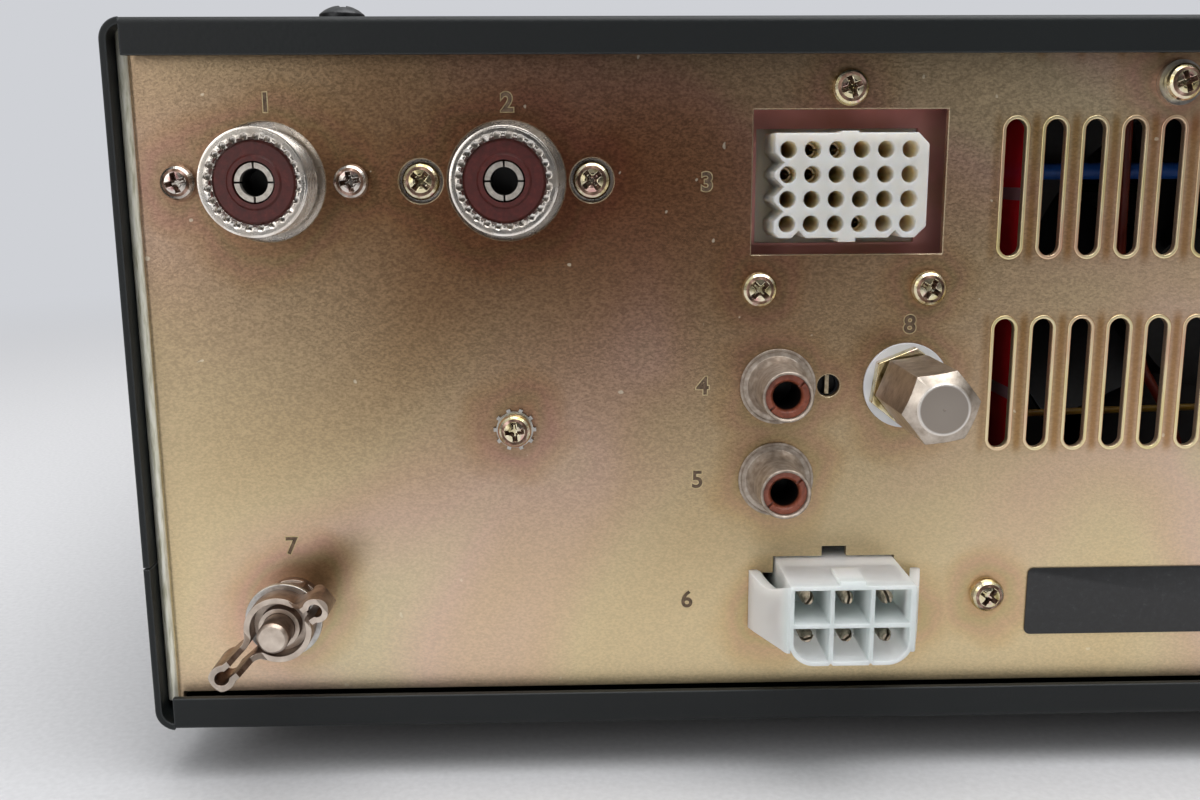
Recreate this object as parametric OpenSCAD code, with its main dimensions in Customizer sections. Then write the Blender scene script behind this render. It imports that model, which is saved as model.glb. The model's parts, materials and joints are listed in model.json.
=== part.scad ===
// HF linear amplifier in a sheet-metal desk case.
// Z is up, the front faces -Y and the rear panel faces +Y.
// The origin lies on the desk under the middle of the whole object.
// Rear-panel places are given as seen from behind: x from the case's left edge, z from the case's bottom.
// Front-panel places are given as seen from the front in the same way.

/* [Case] */
// Width across the covers
case_w = 241; // [230:1:260]
// Height of the case without its feet
case_h = 111; // [110:1:118]
// Length of the covers from front to back
cover_l = 290; // [280:1:320]
// Thickness of the cover sheet
cover_t = 1; // [0.8:0.1:1.2]
// Outside radius of the covers' long bends
cover_bend_r = 3.3; // [2.4:0.1:4]
// Height of the seam between the two covers
seam_z = 27.5; // [26:0.5:30]
// Gap between the covers along the seam
seam_gap = 0.3; // [0.2:0.1:0.6]
// Height of the covers' folded rear flanges
flange_h = 5.4; // [4.6:0.1:6]
// Distance from the case's side to the end of a flange
flange_inset = 2.9; // [2.5:0.1:5]
// How far the flanges stand behind the rear panel
panel_setback = 3.1; // [2.5:0.1:4]
// Number of cooling slots across the top cover
top_slots = 14; // [6:1:16]
// Length of a cooling slot in the top cover
top_slot_l = 44; // [20:1:60]
// Width of a cooling slot in the covers
cover_slot_w = 3; // [2:0.5:4]

/* [Feet] */
// Height of a rubber foot
foot_h = 9; // [6:0.5:14]
// Radius of a rubber foot at the case
foot_r = 10; // [8:0.5:14]
// Distance from a foot's middle to the case's side
foot_inset = 34; // [26:1:50]

/* [Rear panel] */
// Thickness of the rear panel
panel_t = 1.2; // [1:0.1:1.6]
// Gap between the panel's side and the cover
panel_gap = 1.1; // [0.8:0.1:1.5]
// Outside radius of the panel's side bends
panel_bend_r = 1.5; // [1.3:0.1:2]
// Length of the panel's side returns
return_l = 15; // [12:1:20]
// Height of the panel's lower edge
panel_low_z = 5.3; // [4.5:0.1:7]
// Left-most cooling slot, from the left
vent_x = 135.9; // [134:0.1:140]
// Distance between cooling slots
vent_pitch = 6.1; // [5.6:0.1:6.5]
// Number of cooling slots in a row
vent_count = 15; // [8:1:15]
// Width of a cooling slot
vent_w = 3.2; // [2.4:0.1:3.8]
// Height of a cooling slot
vent_h = 20.7; // [16:0.1:22]
// Middle of the upper row of slots, as a share of the case's height
vent_upper_at = 0.773; // [0.765:0.001:0.78]
// Middle of the lower row of slots, as a share of the case's height
vent_lower_at = 0.498; // [0.49:0.001:0.505]

/* [Coaxial sockets] */
// Input socket, from the left
input_x = 22; // [20:0.1:26]
// Antenna socket, from the left
ant_x = 58.3; // [56:0.1:64]
// Height of both coaxial sockets, as a share of the case's height
uhf_at = 0.787; // [0.77:0.001:0.8]
// Radius of the sockets' outside thread
uhf_r = 7.94; // [7.5:0.02:8.2]
// How far a socket stands out of the panel
uhf_out = 7.8; // [6:0.1:9]
// Radius of a socket's hole in the panel
uhf_hole_r = 9; // [8.5:0.1:9.4]
// Distance from a socket's middle to its screws
uhf_screw_x = 12.95; // [12.8:0.05:13.5]
// Bore of the centre contact
uhf_pin_r = 2.05; // [1.9:0.05:2.2]
// Radius of the clearance holes round the antenna socket's screws
ant_screw_hole_r = 3.35; // [3.1:0.05:3.6]

/* [Accessory connector] */
// Middle of the connector, from the left
acc_x = 109.9; // [109.4:0.1:110.4]
// Height of the connector's middle, as a share of the case's height
acc_at = 0.7766; // [0.774:0.0002:0.78]
// Width of the panel's window
acc_window_w = 29.7; // [29:0.1:31]
// Height of the panel's window
acc_window_h = 21.8; // [21:0.1:23]
// Distance between neighbouring contacts
acc_pitch = 3.68; // [3.5:0.02:3.8]
// Radius of a contact hole
acc_hole_r = 1.28; // [1.1:0.02:1.4]
// Depth of the contact holes
acc_hole_d = 12; // [8:0.5:14]
// How far the housing stands out of the panel
acc_out = 2.6; // [0:0.1:4]
// Length of the housing
acc_l = 20; // [18:0.5:24]
// Depth of the bracket's plate behind the panel's face
acc_plate_d = 6; // [5:0.1:8]

/* [Jacks and level control] */
// Both phono jacks, from the left
jack_x = 100.35; // [99:0.05:101]
// Height of the level jack, the trimmer and the level control, as a share of the case's height
level_at = 0.498; // [0.494:0.001:0.502]
// Height of the send jack, as a share of the case's height
send_at = 0.362; // [0.35:0.001:0.37]
// Radius of a phono jack's barrel
jack_r = 3.95; // [3.8:0.05:4.2]
// How far a phono jack stands out
jack_out = 9.45; // [8:0.05:10]
// Radius of a phono jack's flange
jack_flange_r = 6; // [5.6:0.05:6.2]
// Radius of a phono jack's bore
jack_bore_r = 2.15; // [1.8:0.05:2.4]
// Trimmer hole, from the left
trimmer_x = 108.4; // [108:0.1:109.5]
// Radius of the trimmer hole
trimmer_hole_r = 1.8; // [1.5:0.05:1.9]
// Level control, from the left
level_x = 120.6; // [120:0.1:122]
// Width across the flats of the level knob
level_flats = 10; // [8:0.5:11]
// How far the level knob reaches out of the panel
level_out = 19.8; // [19.3:0.1:22]
// Radius of the level control's shaft
level_shaft_r = 3; // [2.5:0.1:3.2]

/* [Power connector] */
// Middle of the power connector, from the left
power_x = 110.2; // [109.6:0.1:111]
// Height of the power connector's middle, as a share of the case's height
power_at = 0.1847; // [0.182:0.0005:0.19]
// Distance between neighbouring power contacts
power_pitch = 6.15; // [6:0.05:6.35]
// Side of a contact's cell
power_cell = 5.5; // [5.2:0.1:5.6]
// Thickness of the housing's outer wall
power_wall = 0.65; // [0.6:0.05:0.9]
// How far the housing stands out of the panel
power_out = 13.6; // [11:0.1:15]
// Depth of a cell
power_cell_d = 10; // [8:0.5:12]
// Radius of a power pin
power_pin_r = 1.05; // [0.9:0.05:1.3]

/* [Ground terminal] */
// Ground stud, from the left
ground_x = 22.7; // [20:0.1:26]
// Height of the ground stud, as a share of the case's height
ground_at = 0.183; // [0.18:0.001:0.2]
// Radius of the ground stud
stud_r = 2.4; // [2:0.1:3]
// How far the stud reaches out of the panel
stud_out = 15.1; // [13:0.1:17]
// Pitch of the stud's thread
stud_pitch = 0.8; // [0.5:0.05:1]
// Radius of the wing nut at its wing tips
wing_r = 10.8; // [9.5:0.05:11]
// How far the wing tips reach out of the panel
wing_out = 17.4; // [16.5:0.1:19.2]
// Thickness of the wing nut's sheet
wing_t = 0.9; // [0.7:0.05:1]
// Angle of the wings above the horizontal
wing_angle = 36; // [0:1:180]

/* [Screws] */
// Radius of an M3 screw's shank
screw_r = 1.5; // [1.3:0.05:1.6]
// Radius of a pan head
pan_r = 2.75; // [2.5:0.05:3]
// Height of a pan head
pan_h = 2; // [1.6:0.1:2.4]
// Radius of a cover screw's truss head
truss_r = 3.4; // [3:0.1:4]
// Height of a cover screw's truss head
truss_h = 2.4; // [1.8:0.1:2.8]

/* [Front] */
// Depth of the moulded front panel
bezel_d = 20; // [16:1:26]
// Depth of the rim round the front face
rim_d = 2.5; // [1.5:0.1:4]
// Width of the rim round the front face
rim_w = 4; // [3:0.1:6]
// Thickness of the front face
face_t = 3; // [2.5:0.1:4]
// Radius of the front panel's corners
bezel_r = 6; // [4:0.5:8]
// Meter window's middle, from the front's left
meter_x = 60; // [56:1:66]
// Height of the meter window's middle
meter_z = 66; // [62:1:70]
// Width of the meter window
meter_w = 76; // [60:1:84]
// Height of the meter window
meter_h = 42; // [36:1:46]
// Band knob, from the front's left
band_x = 178; // [170:1:190]
// Height of the band knob
band_z = 62; // [58:1:70]
// Radius of the band knob
band_r = 17; // [14:0.5:20]
// How far the knobs stand out of the face
knob_out = 17; // [14:0.5:22]
// Function knob, from the front's left
meter_knob_x = 127; // [122:1:134]
// Radius of the function knob
meter_knob_r = 10; // [8:0.5:12]
// Radius of a switch shaft
shaft_r = 3; // [2.5:0.1:3.2]
// Power button, from the front's left
power_button_x = 32; // [26:1:40]
// Amplifier button, from the front's left
amp_button_x = 66; // [60:1:80]
// Height of both buttons
button_z = 24; // [20:1:28]
// Width of a button
button_w = 17; // [12:0.5:20]
// Height of a button
button_h = 9; // [7:0.5:12]
// How far a button stands out of the face
button_out = 7; // [5:0.5:9]
// Travel of a button
button_travel = 3.5; // [2.5:0.1:4]

/* [Inside] */
// Thickness of the chassis sheet
chassis_t = 1.2; // [1:0.1:1.6]
// Height of the chassis deck
deck_z = 9; // [8:0.5:10]
// Distance from the fan's middle to the case's right side, as seen from behind
fan_side = 55; // [54:0.5:57]
// Depth of the fan's middle below the case's top
fan_below_top = 47; // [45:0.5:49]
// Side of the square fan frame
fan_w = 80; // [76:1:84]
// Depth of the fan frame
fan_d = 25; // [20:1:28]
// Distance from the panel to the fan frame
fan_gap = 27; // [25:1:34]
// Length of the heat sink
sink_l = 150; // [120:1:160]
// Number of fins on the heat sink
sink_fins = 13; // [8:1:16]
// Thickness of a circuit board
board_t = 1.6; // [1.2:0.1:2]
// Radius of the blue supply wire
blue_r = 1.4; // [1:0.1:1.6]
// Radius of the yellow signal wire
yellow_r = 0.6; // [0.5:0.1:0.8]
// Radius of the red lead
red_r = 0.8; // [0.6:0.1:1]

/* [Fits] */
// Running clearance between a shaft and its bore
run_fit = 0.05; // [0.02:0.01:0.08]
// Gap between pieces that are seated on each other
seat = 0.05; // [0.02:0.01:0.1]
// Gap between pieces that move past each other
slip = 0.35; // [0.3:0.05:0.5]

/* [Hidden] */
$fn = 48;

// Colours of the real finishes
case_green = "#24292b";
chromate = "#a8926c";
nickel = "#b9b2a6";
phenolic = "#5a2420";
nylon = "#dfe3e0";
steel = "#a5a19b";
black_plastic = "#17181a";
copper_brown = "#8a4a34";
board_green = "#3c5a34";
aluminium = "#a9aaab";

// Places along Y
face_to_panel = cover_l + bezel_d - rim_d - panel_setback;
panel_y = (face_to_panel + knob_out - level_out) / 2;
front_y = panel_y - face_to_panel;
cover_back_y = panel_y + panel_setback;
cover_front_y = cover_back_y - cover_l;
// Panel and chassis places
vent_upper_z = vent_upper_at * case_h;
vent_lower_z = vent_lower_at * case_h;
uhf_z = uhf_at * case_h;
acc_z = acc_at * case_h;
level_z = level_at * case_h;
send_z = send_at * case_h;
power_z = power_at * case_h;
ground_z = ground_at * case_h;
fan_x = case_w - fan_side;
fan_z = case_h - fan_below_top;

panel_side = cover_t + panel_gap;
panel_top_z = case_h - cover_t - 0.3;
panel_tab_w = 1.6;
frame_side = panel_side + panel_t + seat;
subpanel_y = cover_front_y + 4;
deck_w = case_w - 2 * (frame_side + chassis_t + seat);
deck_l = panel_y - panel_t - seat - (subpanel_y + chassis_t + seat);
return_seat_y = panel_y - panel_t - seat;
// Cover screws: places forward of the panel and heights on the sides
screw_hole_r = screw_r + 0.1;
top_screw_x = 33.7;
top_screw_d = 5;
side_screw_d = 6;
upper_side_screw_z = 39.5;
lower_side_screw_z = 19.5;
front_screw_y = subpanel_y + chassis_t + 8;
rear_screw_y = panel_y - top_screw_d;
side_screw_y = panel_y - side_screw_d;
cover_screw_l = 7;
// Vent field in the covers above and below the heat sink
cover_slot_pitch = 2 * cover_slot_w + 0.4;
vent_mid_x = vent_x + (vent_count - 1) * vent_pitch / 2;
// Coaxial socket details
uhf_flange_t = 2.4;
uhf_back_l = 11;
uhf_mouth_r = 6.15;
uhf_notches = 24;
uhf_relief_out = 0.5;
ant_seat_d = panel_t + seat;
// Connector housings
acc_cols = 6;
acc_rows = 4;
acc_contact_r = 1.1;
acc_contact_l = 8;
acc_filled = [[2, 1], [3, 1], [1, 2], [2, 2], [4, 4]];
acc_window_x = 110.56;
acc_window_z = 0.7822 * case_h;
acc_screws = [[110.15, 0.909 * case_h], [97, 0.636 * case_h], [123.4, 0.636 * case_h]];
power_w = 3 * power_pitch + 2 * power_wall - 0.6;
power_h = 2 * power_pitch + 2 * power_wall - 0.8;
power_corner_r = 4;
power_wing_reach = 13.9;
power_back_l = 12;
// Pan screws on the panel besides the accessory bracket's
lock_screw = [58.85, 0.44 * case_h];
label_screw = [135.5, 0.183 * case_h];
corner_screw = [160.1, 0.9135 * case_h];
// Ground terminal, measured out of the panel
washer_gap = 0.1;
lock_nut_out = 5.2;
wing_loop_r = 1.95;
wing_neck_r = 1.55;
flat_washer_t = 1;
flat_washer_r = 5.95;
spring_washer_t = 1.3;
spring_washer_r = 4.6;
nut_base_out = lock_nut_out + washer_gap + flat_washer_t + spring_washer_t + 2 * seat;
nut_ring_out = 11.5;
nut_ring_r = 5.15;
// Level control, measured out of the panel
level_washer_r = 6.75;
level_washer_t = 0.6;
level_nut_t = 2;
level_nut_flats = 11;
level_bush_r = 3.5;
level_knob_base = level_washer_t + level_nut_t + 1.1;
level_turn = 9;
// Fan
fan_bore_r = fan_w / 2 - 2.5;
fan_hub_r = 15;
fan_blades = 7;
fan_axle_r = 1.5;
fan_back_d = fan_gap + panel_t;
fan_front_d = fan_back_d + fan_d;
// Heat sink
sink_w = 90;
sink_x = fan_x;
sink_low_z = 24;
sink_top_z = case_h - 27;
sink_base_t = 7;
sink_back_d = fan_front_d + 6;
sink_fin_t = 2;
// Meter and front switches
meter_depth = 30;
lens_t = 2;
needle_l = 30;
needle_pivot_z = meter_z - meter_h / 2 + 5;
needle_out = -face_t - 3;
switch_r = 13;
switch_d = 12;
bush_r = 4.7;
bush_hole_r = bush_r + 0.15;
button_stem = 5;
switch_gap = 1;
// Wires: points as [x from the left seen from behind, depth behind the panel, height]
blue_side_x = fan_x + fan_w / 2 + blue_r + 0.3;
yellow_side_x = fan_x + fan_w / 2 + yellow_r + 0.3;
blue_route = [[107, 14, 23], [107, 22, 30], [107, 22, 88.3], [blue_side_x, 22, 88.3], [blue_side_x, 62, 88.3]];
yellow_route = [[132, 20, 30], [132, 22, 45.4], [yellow_side_x, 22, 48], [yellow_side_x, 52, 42]];
red_route = [[161, 17, 97], [162, 18, 74], [165, 18.5, 62.5], [168, 18.5, 54], [173, 18.5, 46], [180, 20, 30],
    [180, 23, 11.2]];

// ---- Frames of reference ----
// Draws in the rear panel's own frame: X to the viewer's right, Y up, Z out of the panel
module rear_at(x, z, out = 0) {
    translate([case_w / 2 - x, panel_y + out, foot_h + z]) rotate([90, 0, 180]) children();
}

// Draws in the front face's own frame: X to the viewer's right, Y up, Z out of the face
module front_at(x, z, out = 0) {
    translate([x - case_w / 2, front_y - out, foot_h + z]) rotate([90, 0, 0]) children();
}

// ---- Shapes that repeat ----
module round_rect(w, h, r) {
    square([w - 2 * r, h], center = true);
    square([w, h - 2 * r], center = true);
    for (sx = [-1, 1], sy = [-1, 1]) translate([sx * (w / 2 - r), sy * (h / 2 - r)]) circle(r);
}

// A slot with round ends, w wide and h high
module slot(w, h) {
    square([w, h - w], center = true);
    for (s = [-1, 1]) translate([0, s * (h - w) / 2]) circle(w / 2);
}

module tube(r_out, r_in, l) {
    difference() {
        cylinder(r = r_out, h = l);
        translate([0, 0, -1]) cylinder(r = r_in, h = l + 2);
    }
}

module hexagon(flats) {
    circle(r = flats / sqrt(3), $fn = 6);
}

// A cross-recessed screw whose head sits on Z = 0, with a domed head
module cross_screw(head_r, head_h, shank_l) {
    dome_r = head_r * 1.45;
    difference() {
        union() {
            intersection() {
                cylinder(r = head_r, h = head_h);
                translate([0, 0, head_h - dome_r]) sphere(dome_r);
            }
            translate([0, 0, -shank_l]) cylinder(r = screw_r, h = shank_l + head_h / 4);
        }
        for (a = [20, 110]) rotate([0, 0, a])
            translate([-head_r * 0.55, -head_r * 0.16, head_h * 0.45]) cube([head_r * 1.1, head_r * 0.32, head_h]);
    }
}

// A wire along a list of points, round at each turn
module wire(route, r) {
    points = [for (p = route) [case_w / 2 - p[0], panel_y - p[1], foot_h + p[2]]];
    for (i = [0:len(points) - 2]) {
        step = points[i + 1] - points[i];
        flat = norm([step[0], step[1]]);
        translate(points[i]) rotate([0, atan2(flat, step[2]), atan2(step[1], step[0])])
            cylinder(r = r, h = norm(step));
    }
    for (i = [1:len(points) - 2]) translate(points[i]) sphere(r * 1.08);
}

// ---- Case ----
module cover_outline(grow = 0) {
    round_rect(case_w - 2 * grow, case_h - 2 * grow, cover_bend_r - grow);
}

// The covers' closed sleeve between two heights above the case's bottom
module cover_sleeve(low, high) {
    translate([0, cover_back_y, foot_h + case_h / 2]) rotate([90, 0, 0]) linear_extrude(cover_l) intersection() {
        difference() {
            cover_outline();
            cover_outline(cover_t);
        }
        translate([-case_w, low - case_h / 2]) square([2 * case_w, high - low]);
    }
}

// A rear flange with its rounded fold, drawn hanging from the case's top
module rear_flange() {
    translate([flange_inset - case_w / 2, cover_back_y, 0]) rotate([90, 0, 90])
        linear_extrude(case_w - 2 * flange_inset) union() {
            translate([-cover_t, -flange_h]) square([cover_t, flange_h - cover_t]);
            translate([-cover_t, -cover_t]) intersection() {
                circle(cover_t);
                square(cover_t);
            }
        }
}

module fold_relief() {
    translate([flange_inset - case_w / 2, cover_back_y - cover_t, -cover_t])
        cube([case_w - 2 * flange_inset, 2 * cover_t, 2 * cover_t]);
}

module side_screw_holes(z) {
    for (s = [-1, 1], y = [side_screw_y, front_screw_y]) translate([s * case_w / 2, y, foot_h + z])
        rotate([0, 90, 0]) cylinder(r = screw_hole_r, h = 14, center = true);
}

module top_screw_holes(r, low, high) {
    for (s = [-1, 1], y = [rear_screw_y, front_screw_y])
        translate([s * (case_w / 2 - top_screw_x), y, foot_h + low]) cylinder(r = r, h = high - low);
}

module cover_slots(z) {
    for (row = [0, 1], i = [0:top_slots - 1])
        translate([case_w / 2 - sink_x + (i - (top_slots - 1) / 2) * cover_slot_pitch,
                panel_y - sink_back_d - sink_l / 2 + (row - 0.5) * (top_slot_l + 10), z])
            linear_extrude(4 * cover_t, center = true) slot(cover_slot_w, top_slot_l);
}

module top_cover() {
    top = foot_h + case_h;
    color(case_green) union() {
        difference() {
            cover_sleeve(seam_z + seam_gap / 2, case_h);
            translate([0, 0, top]) fold_relief();
            side_screw_holes(upper_side_screw_z);
            top_screw_holes(screw_hole_r, case_h - 5, case_h + 5);
            cover_slots(top);
        }
        translate([0, 0, top]) rear_flange();
    }
}

module foot_places() {
    for (sx = [-1, 1], y = [cover_back_y - foot_inset, cover_front_y + foot_inset])
        translate([sx * (case_w / 2 - foot_inset), y, 0]) children();
}

module bottom_cover() {
    color(case_green) union() {
        difference() {
            cover_sleeve(0, seam_z - seam_gap / 2);
            translate([0, 0, foot_h]) mirror([0, 0, 1]) fold_relief();
            side_screw_holes(lower_side_screw_z);
            cover_slots(foot_h);
            foot_places() translate([0, 0, foot_h - 2]) cylinder(r = screw_hole_r, h = 6);
        }
        translate([0, 0, foot_h]) mirror([0, 0, 1]) rear_flange();
    }
}

module cover_screws() {
    color("#1d1e20") {
        for (s = [-1, 1], y = [rear_screw_y, front_screw_y])
            translate([s * (case_w / 2 - top_screw_x), y, foot_h + case_h + seat])
                cross_screw(truss_r, truss_h, cover_screw_l);
        for (s = [-1, 1], y = [side_screw_y, front_screw_y], z = [upper_side_screw_z, lower_side_screw_z])
            translate([s * (case_w / 2 + seat), y, foot_h + z]) rotate([0, s * 90, 0])
                cross_screw(truss_r, truss_h, cover_screw_l);
    }
}

module rubber_feet() {
    color("#141414") foot_places() difference() {
        rotate_extrude() polygon([[0, 0], [foot_r - 2, 0], [foot_r - 1.2, 0.8], [foot_r, foot_h - seat],
            [0, foot_h - seat]]);
        translate([0, 0, -1]) cylinder(r = pan_r + 0.4, h = pan_h + 3);
        cylinder(r = screw_hole_r, h = 2 * foot_h);
    }
}

module foot_screws() {
    color(steel) foot_places() translate([0, 0, pan_h + 2 - seat]) mirror([0, 0, 1])
        cross_screw(pan_r, pan_h, foot_h - pan_h + 1.5);
}

// ---- Chassis ----
// The flat face of the panel with its holes, X from the case's left edge and Y from the case's bottom
module panel_holes() {
    for (i = [0:vent_count - 1], z = [vent_upper_z, vent_lower_z])
        translate([vent_x + i * vent_pitch, z]) slot(vent_w, vent_h);
    for (x = [input_x, ant_x]) translate([x, uhf_z]) circle(uhf_hole_r);
    for (s = [-1, 1]) {
        translate([input_x + s * uhf_screw_x, uhf_z]) circle(screw_hole_r);
        translate([ant_x + s * uhf_screw_x, uhf_z]) circle(ant_screw_hole_r);
    }
    translate([acc_window_x, acc_window_z]) square([acc_window_w, acc_window_h], center = true);
    for (p = concat(acc_screws, [lock_screw, label_screw, corner_screw])) translate(p) circle(screw_hole_r);
    for (z = [level_z, send_z]) translate([jack_x, z]) circle(jack_r + 0.1);
    translate([trimmer_x, level_z]) circle(trimmer_hole_r);
    translate([level_x, level_z]) circle(level_bush_r + 0.15);
    translate([ground_x, ground_z]) circle(stud_r + 0.1);
    power_cutout();
}

// Stepped cut-out that the power housing snaps into
module power_cutout() {
    translate([power_x, power_z]) {
        square([power_w + 0.6, power_h + 0.5], center = true);
        translate([0, -0.9]) square([power_w + 4, power_h - 3.2], center = true);
        translate([-2, 0]) square([4, power_h / 2 + 1.9]);
    }
}

module rear_panel() {
    w = case_w - 2 * panel_side;
    h = panel_top_z - panel_low_z;
    color(chromate) difference() {
        union() {
            // face and side returns, bent from one sheet
            translate([0, panel_y, foot_h + panel_low_z - panel_tab_w]) linear_extrude(h + panel_tab_w) difference() {
                translate([-w / 2, -return_l]) union() {
                    translate([panel_bend_r, 0]) square([w - 2 * panel_bend_r, return_l]);
                    square([w, return_l - panel_bend_r]);
                    for (x = [panel_bend_r, w - panel_bend_r]) translate([x, return_l - panel_bend_r])
                        circle(panel_bend_r);
                }
                translate([-w / 2 + panel_t, -return_l - 1]) square([w - 2 * panel_t, return_l + 1 - panel_t]);
            }
            // top return
            translate([-w / 2 + panel_t, panel_y - return_l, foot_h + panel_top_z - panel_t])
                cube([w - 2 * panel_t, return_l - panel_t, panel_t]);
        }
        // the face stops short of the bottom flange between its two corner tabs
        translate([-w / 2 + panel_tab_w, panel_y - panel_t - 1, foot_h + panel_low_z - panel_tab_w - 1])
            cube([w - 2 * panel_tab_w, panel_t + 2, panel_tab_w + 1]);
        translate([case_w / 2, panel_y - panel_t - 1, foot_h]) rotate([90, 0, 180])
            linear_extrude(panel_t + 2) panel_holes();
        side_screw_holes(upper_side_screw_z);
        side_screw_holes(lower_side_screw_z);
        top_screw_holes(screw_r + run_fit, panel_top_z - 4, panel_top_z + 2);
    }
}

module side_frames() {
    low = deck_z - 3;
    color(chromate) difference() {
        for (s = [0, 1]) mirror([s, 0, 0]) translate([case_w / 2 - frame_side - chassis_t, subpanel_y + chassis_t + seat, 0]) {
            translate([0, 0, foot_h + low])
                cube([chassis_t, return_seat_y - subpanel_y - chassis_t - seat, panel_top_z - panel_t - seat - low]);
            translate([-8, 0, foot_h + panel_top_z - 2 * panel_t - seat])
                cube([8 + chassis_t, return_seat_y - subpanel_y - chassis_t - return_l, chassis_t]);
        }
        side_screw_holes(upper_side_screw_z);
        side_screw_holes(lower_side_screw_z);
    }
}

module chassis_deck() {
    color(chromate) difference() {
        translate([-deck_w / 2, subpanel_y + chassis_t + seat, foot_h + deck_z]) cube([deck_w, deck_l, chassis_t]);
        foot_places() cylinder(r = screw_hole_r + 1.4, h = 3 * foot_h);
        cover_slots(foot_h + deck_z + chassis_t / 2);
    }
}

module front_subpanel() {
    w = case_w - 2 * (frame_side + 0.2);
    low = deck_z - 3;
    color(chromate) difference() {
        union() {
            translate([-w / 2, subpanel_y, foot_h + low]) cube([w, chassis_t, panel_top_z - panel_t - low]);
            // top lip that takes the front cover screws
            translate([-w / 2, subpanel_y + chassis_t, foot_h + panel_top_z - panel_t - chassis_t])
                cube([w, 14, chassis_t]);
        }
        for (p = [[band_x, band_z], [meter_knob_x, band_z]]) front_at(p[0], p[1], -bezel_d * 2)
            cylinder(r = bush_hole_r, h = 3 * bezel_d);
        front_at(meter_x, meter_z, -bezel_d * 2) linear_extrude(3 * bezel_d)
            square([meter_w + 9, meter_h + 9], center = true);
        side_lip_clear();
        top_screw_holes(screw_r + run_fit, panel_top_z - 6, panel_top_z + 2);
    }
}

// Room for the side frames' top lips beside the sub-panel's own lip
module side_lip_clear() {
    for (s = [0, 1]) mirror([s, 0, 0])
        translate([case_w / 2 - frame_side - chassis_t - 8.1, subpanel_y + chassis_t + 0.02, foot_h + panel_top_z - 8])
            cube([20, 40, 10]);
}

module front_panel() {
    face_mid_z = foot_h + case_h / 2;
    rim_front_y = front_y - rim_d;
    color(black_plastic) difference() {
        translate([0, rim_front_y + bezel_d - seat, face_mid_z]) rotate([90, 0, 0]) linear_extrude(bezel_d - seat)
            round_rect(case_w, case_h, bezel_r);
        // recess of the face inside its rim
        translate([0, front_y, face_mid_z]) rotate([90, 0, 0]) linear_extrude(2 * rim_d)
            round_rect(case_w - 2 * rim_w, case_h - 2 * rim_w, bezel_r - rim_w + 1);
        // hollow back
        translate([0, front_y + bezel_d + 1, face_mid_z]) rotate([90, 0, 0]) linear_extrude(bezel_d + 1 - face_t)
            round_rect(case_w - 6, case_h - 6, 3);
        front_at(meter_x, meter_z, -face_t - 1) linear_extrude(face_t + 2) round_rect(meter_w, meter_h, 2);
        for (p = [[band_x, band_z], [meter_knob_x, band_z]]) front_at(p[0], p[1], -face_t - 1)
            cylinder(r = bush_hole_r, h = face_t + 2);
        for (x = [power_button_x, amp_button_x]) front_at(x, button_z, -face_t - 1) linear_extrude(face_t + 2)
            round_rect(button_w + 2 * slip, button_h + 2 * slip, 1 + slip);
    }
    // posts that stand on the sub-panel
    post_l = subpanel_y - seat - front_y - face_t;
    color(black_plastic) for (x = [14, case_w - 14], z = [13, case_h - 16]) front_at(x, z, -face_t - post_l)
        cylinder(r = 3.5, h = post_l + 0.5);
}

// ---- Coaxial sockets ----
module socket_shell(x) {
    back = -ant_seat_d - uhf_flange_t - uhf_back_l;
    color(nickel) rear_at(x, uhf_z) difference() {
        union() {
            // thin back, relief groove in front of the flange, and the threaded barrel
            rotate_extrude() polygon([
                [4.2, back], [uhf_r - 0.8, back], [uhf_r - 0.8, -ant_seat_d - 0.1], [uhf_r - 0.45, -ant_seat_d - 0.1],
                [uhf_r - 0.45, uhf_relief_out], [uhf_r, uhf_relief_out], [uhf_r, uhf_out - 0.3],
                [uhf_r - 0.3, uhf_out], [uhf_mouth_r + 0.9, uhf_out], [uhf_mouth_r, uhf_out - 0.7],
                [uhf_mouth_r, uhf_out - 8], [4.2, uhf_out - 8]
            ]);
            // flange behind the panel with an ear at each screw
            translate([0, 0, -ant_seat_d - uhf_flange_t]) linear_extrude(uhf_flange_t) difference() {
                union() {
                    circle(r = 10.6);
                    rotate([0, 0, 90]) slot(8, 2 * uhf_screw_x + 8);
                }
                circle(r = 5);
            }
        }
        // ring of notches round the mouth
        for (i = [0:uhf_notches - 1]) rotate([0, 0, (i + 0.5) * 360 / uhf_notches])
            translate([uhf_mouth_r + 0.42, 0, uhf_out - 1.6]) cylinder(r = 0.52, h = 3, $fn = 16);
        for (s = [-1, 1]) translate([s * uhf_screw_x, 0, -10]) cylinder(r = screw_r + run_fit, h = 12);
    }
}

module socket_insulator(x) {
    color(phenolic) rear_at(x, uhf_z) rotate_extrude() polygon([
        [uhf_pin_r + 1.05, uhf_out - 6], [uhf_mouth_r - seat, uhf_out - 6], [uhf_mouth_r - seat, uhf_out - 1.4],
        [uhf_mouth_r - 0.4, uhf_out - 1.1], [uhf_pin_r + 2, uhf_out - 1.1], [uhf_pin_r + 1.7, uhf_out - 0.8],
        [uhf_pin_r + 1.05, uhf_out - 0.8]
    ]);
}

module socket_contact(x) {
    color(nickel) rear_at(x, uhf_z) difference() {
        union() {
            translate([0, 0, uhf_out - 7.5]) cylinder(r = uhf_pin_r + 0.8, h = 6.4);
            translate([0, 0, -ant_seat_d - uhf_flange_t - uhf_back_l - 4])
                cylinder(r = 1.6, h = uhf_out + ant_seat_d + uhf_flange_t + uhf_back_l - 3.2);
        }
        translate([0, 0, uhf_out - 7]) cylinder(r = uhf_pin_r, h = 10);
        for (a = [0, 90]) rotate([0, 0, a]) translate([-4, -0.15, uhf_out - 4]) cube([8, 0.3, 6]);
    }
}

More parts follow.
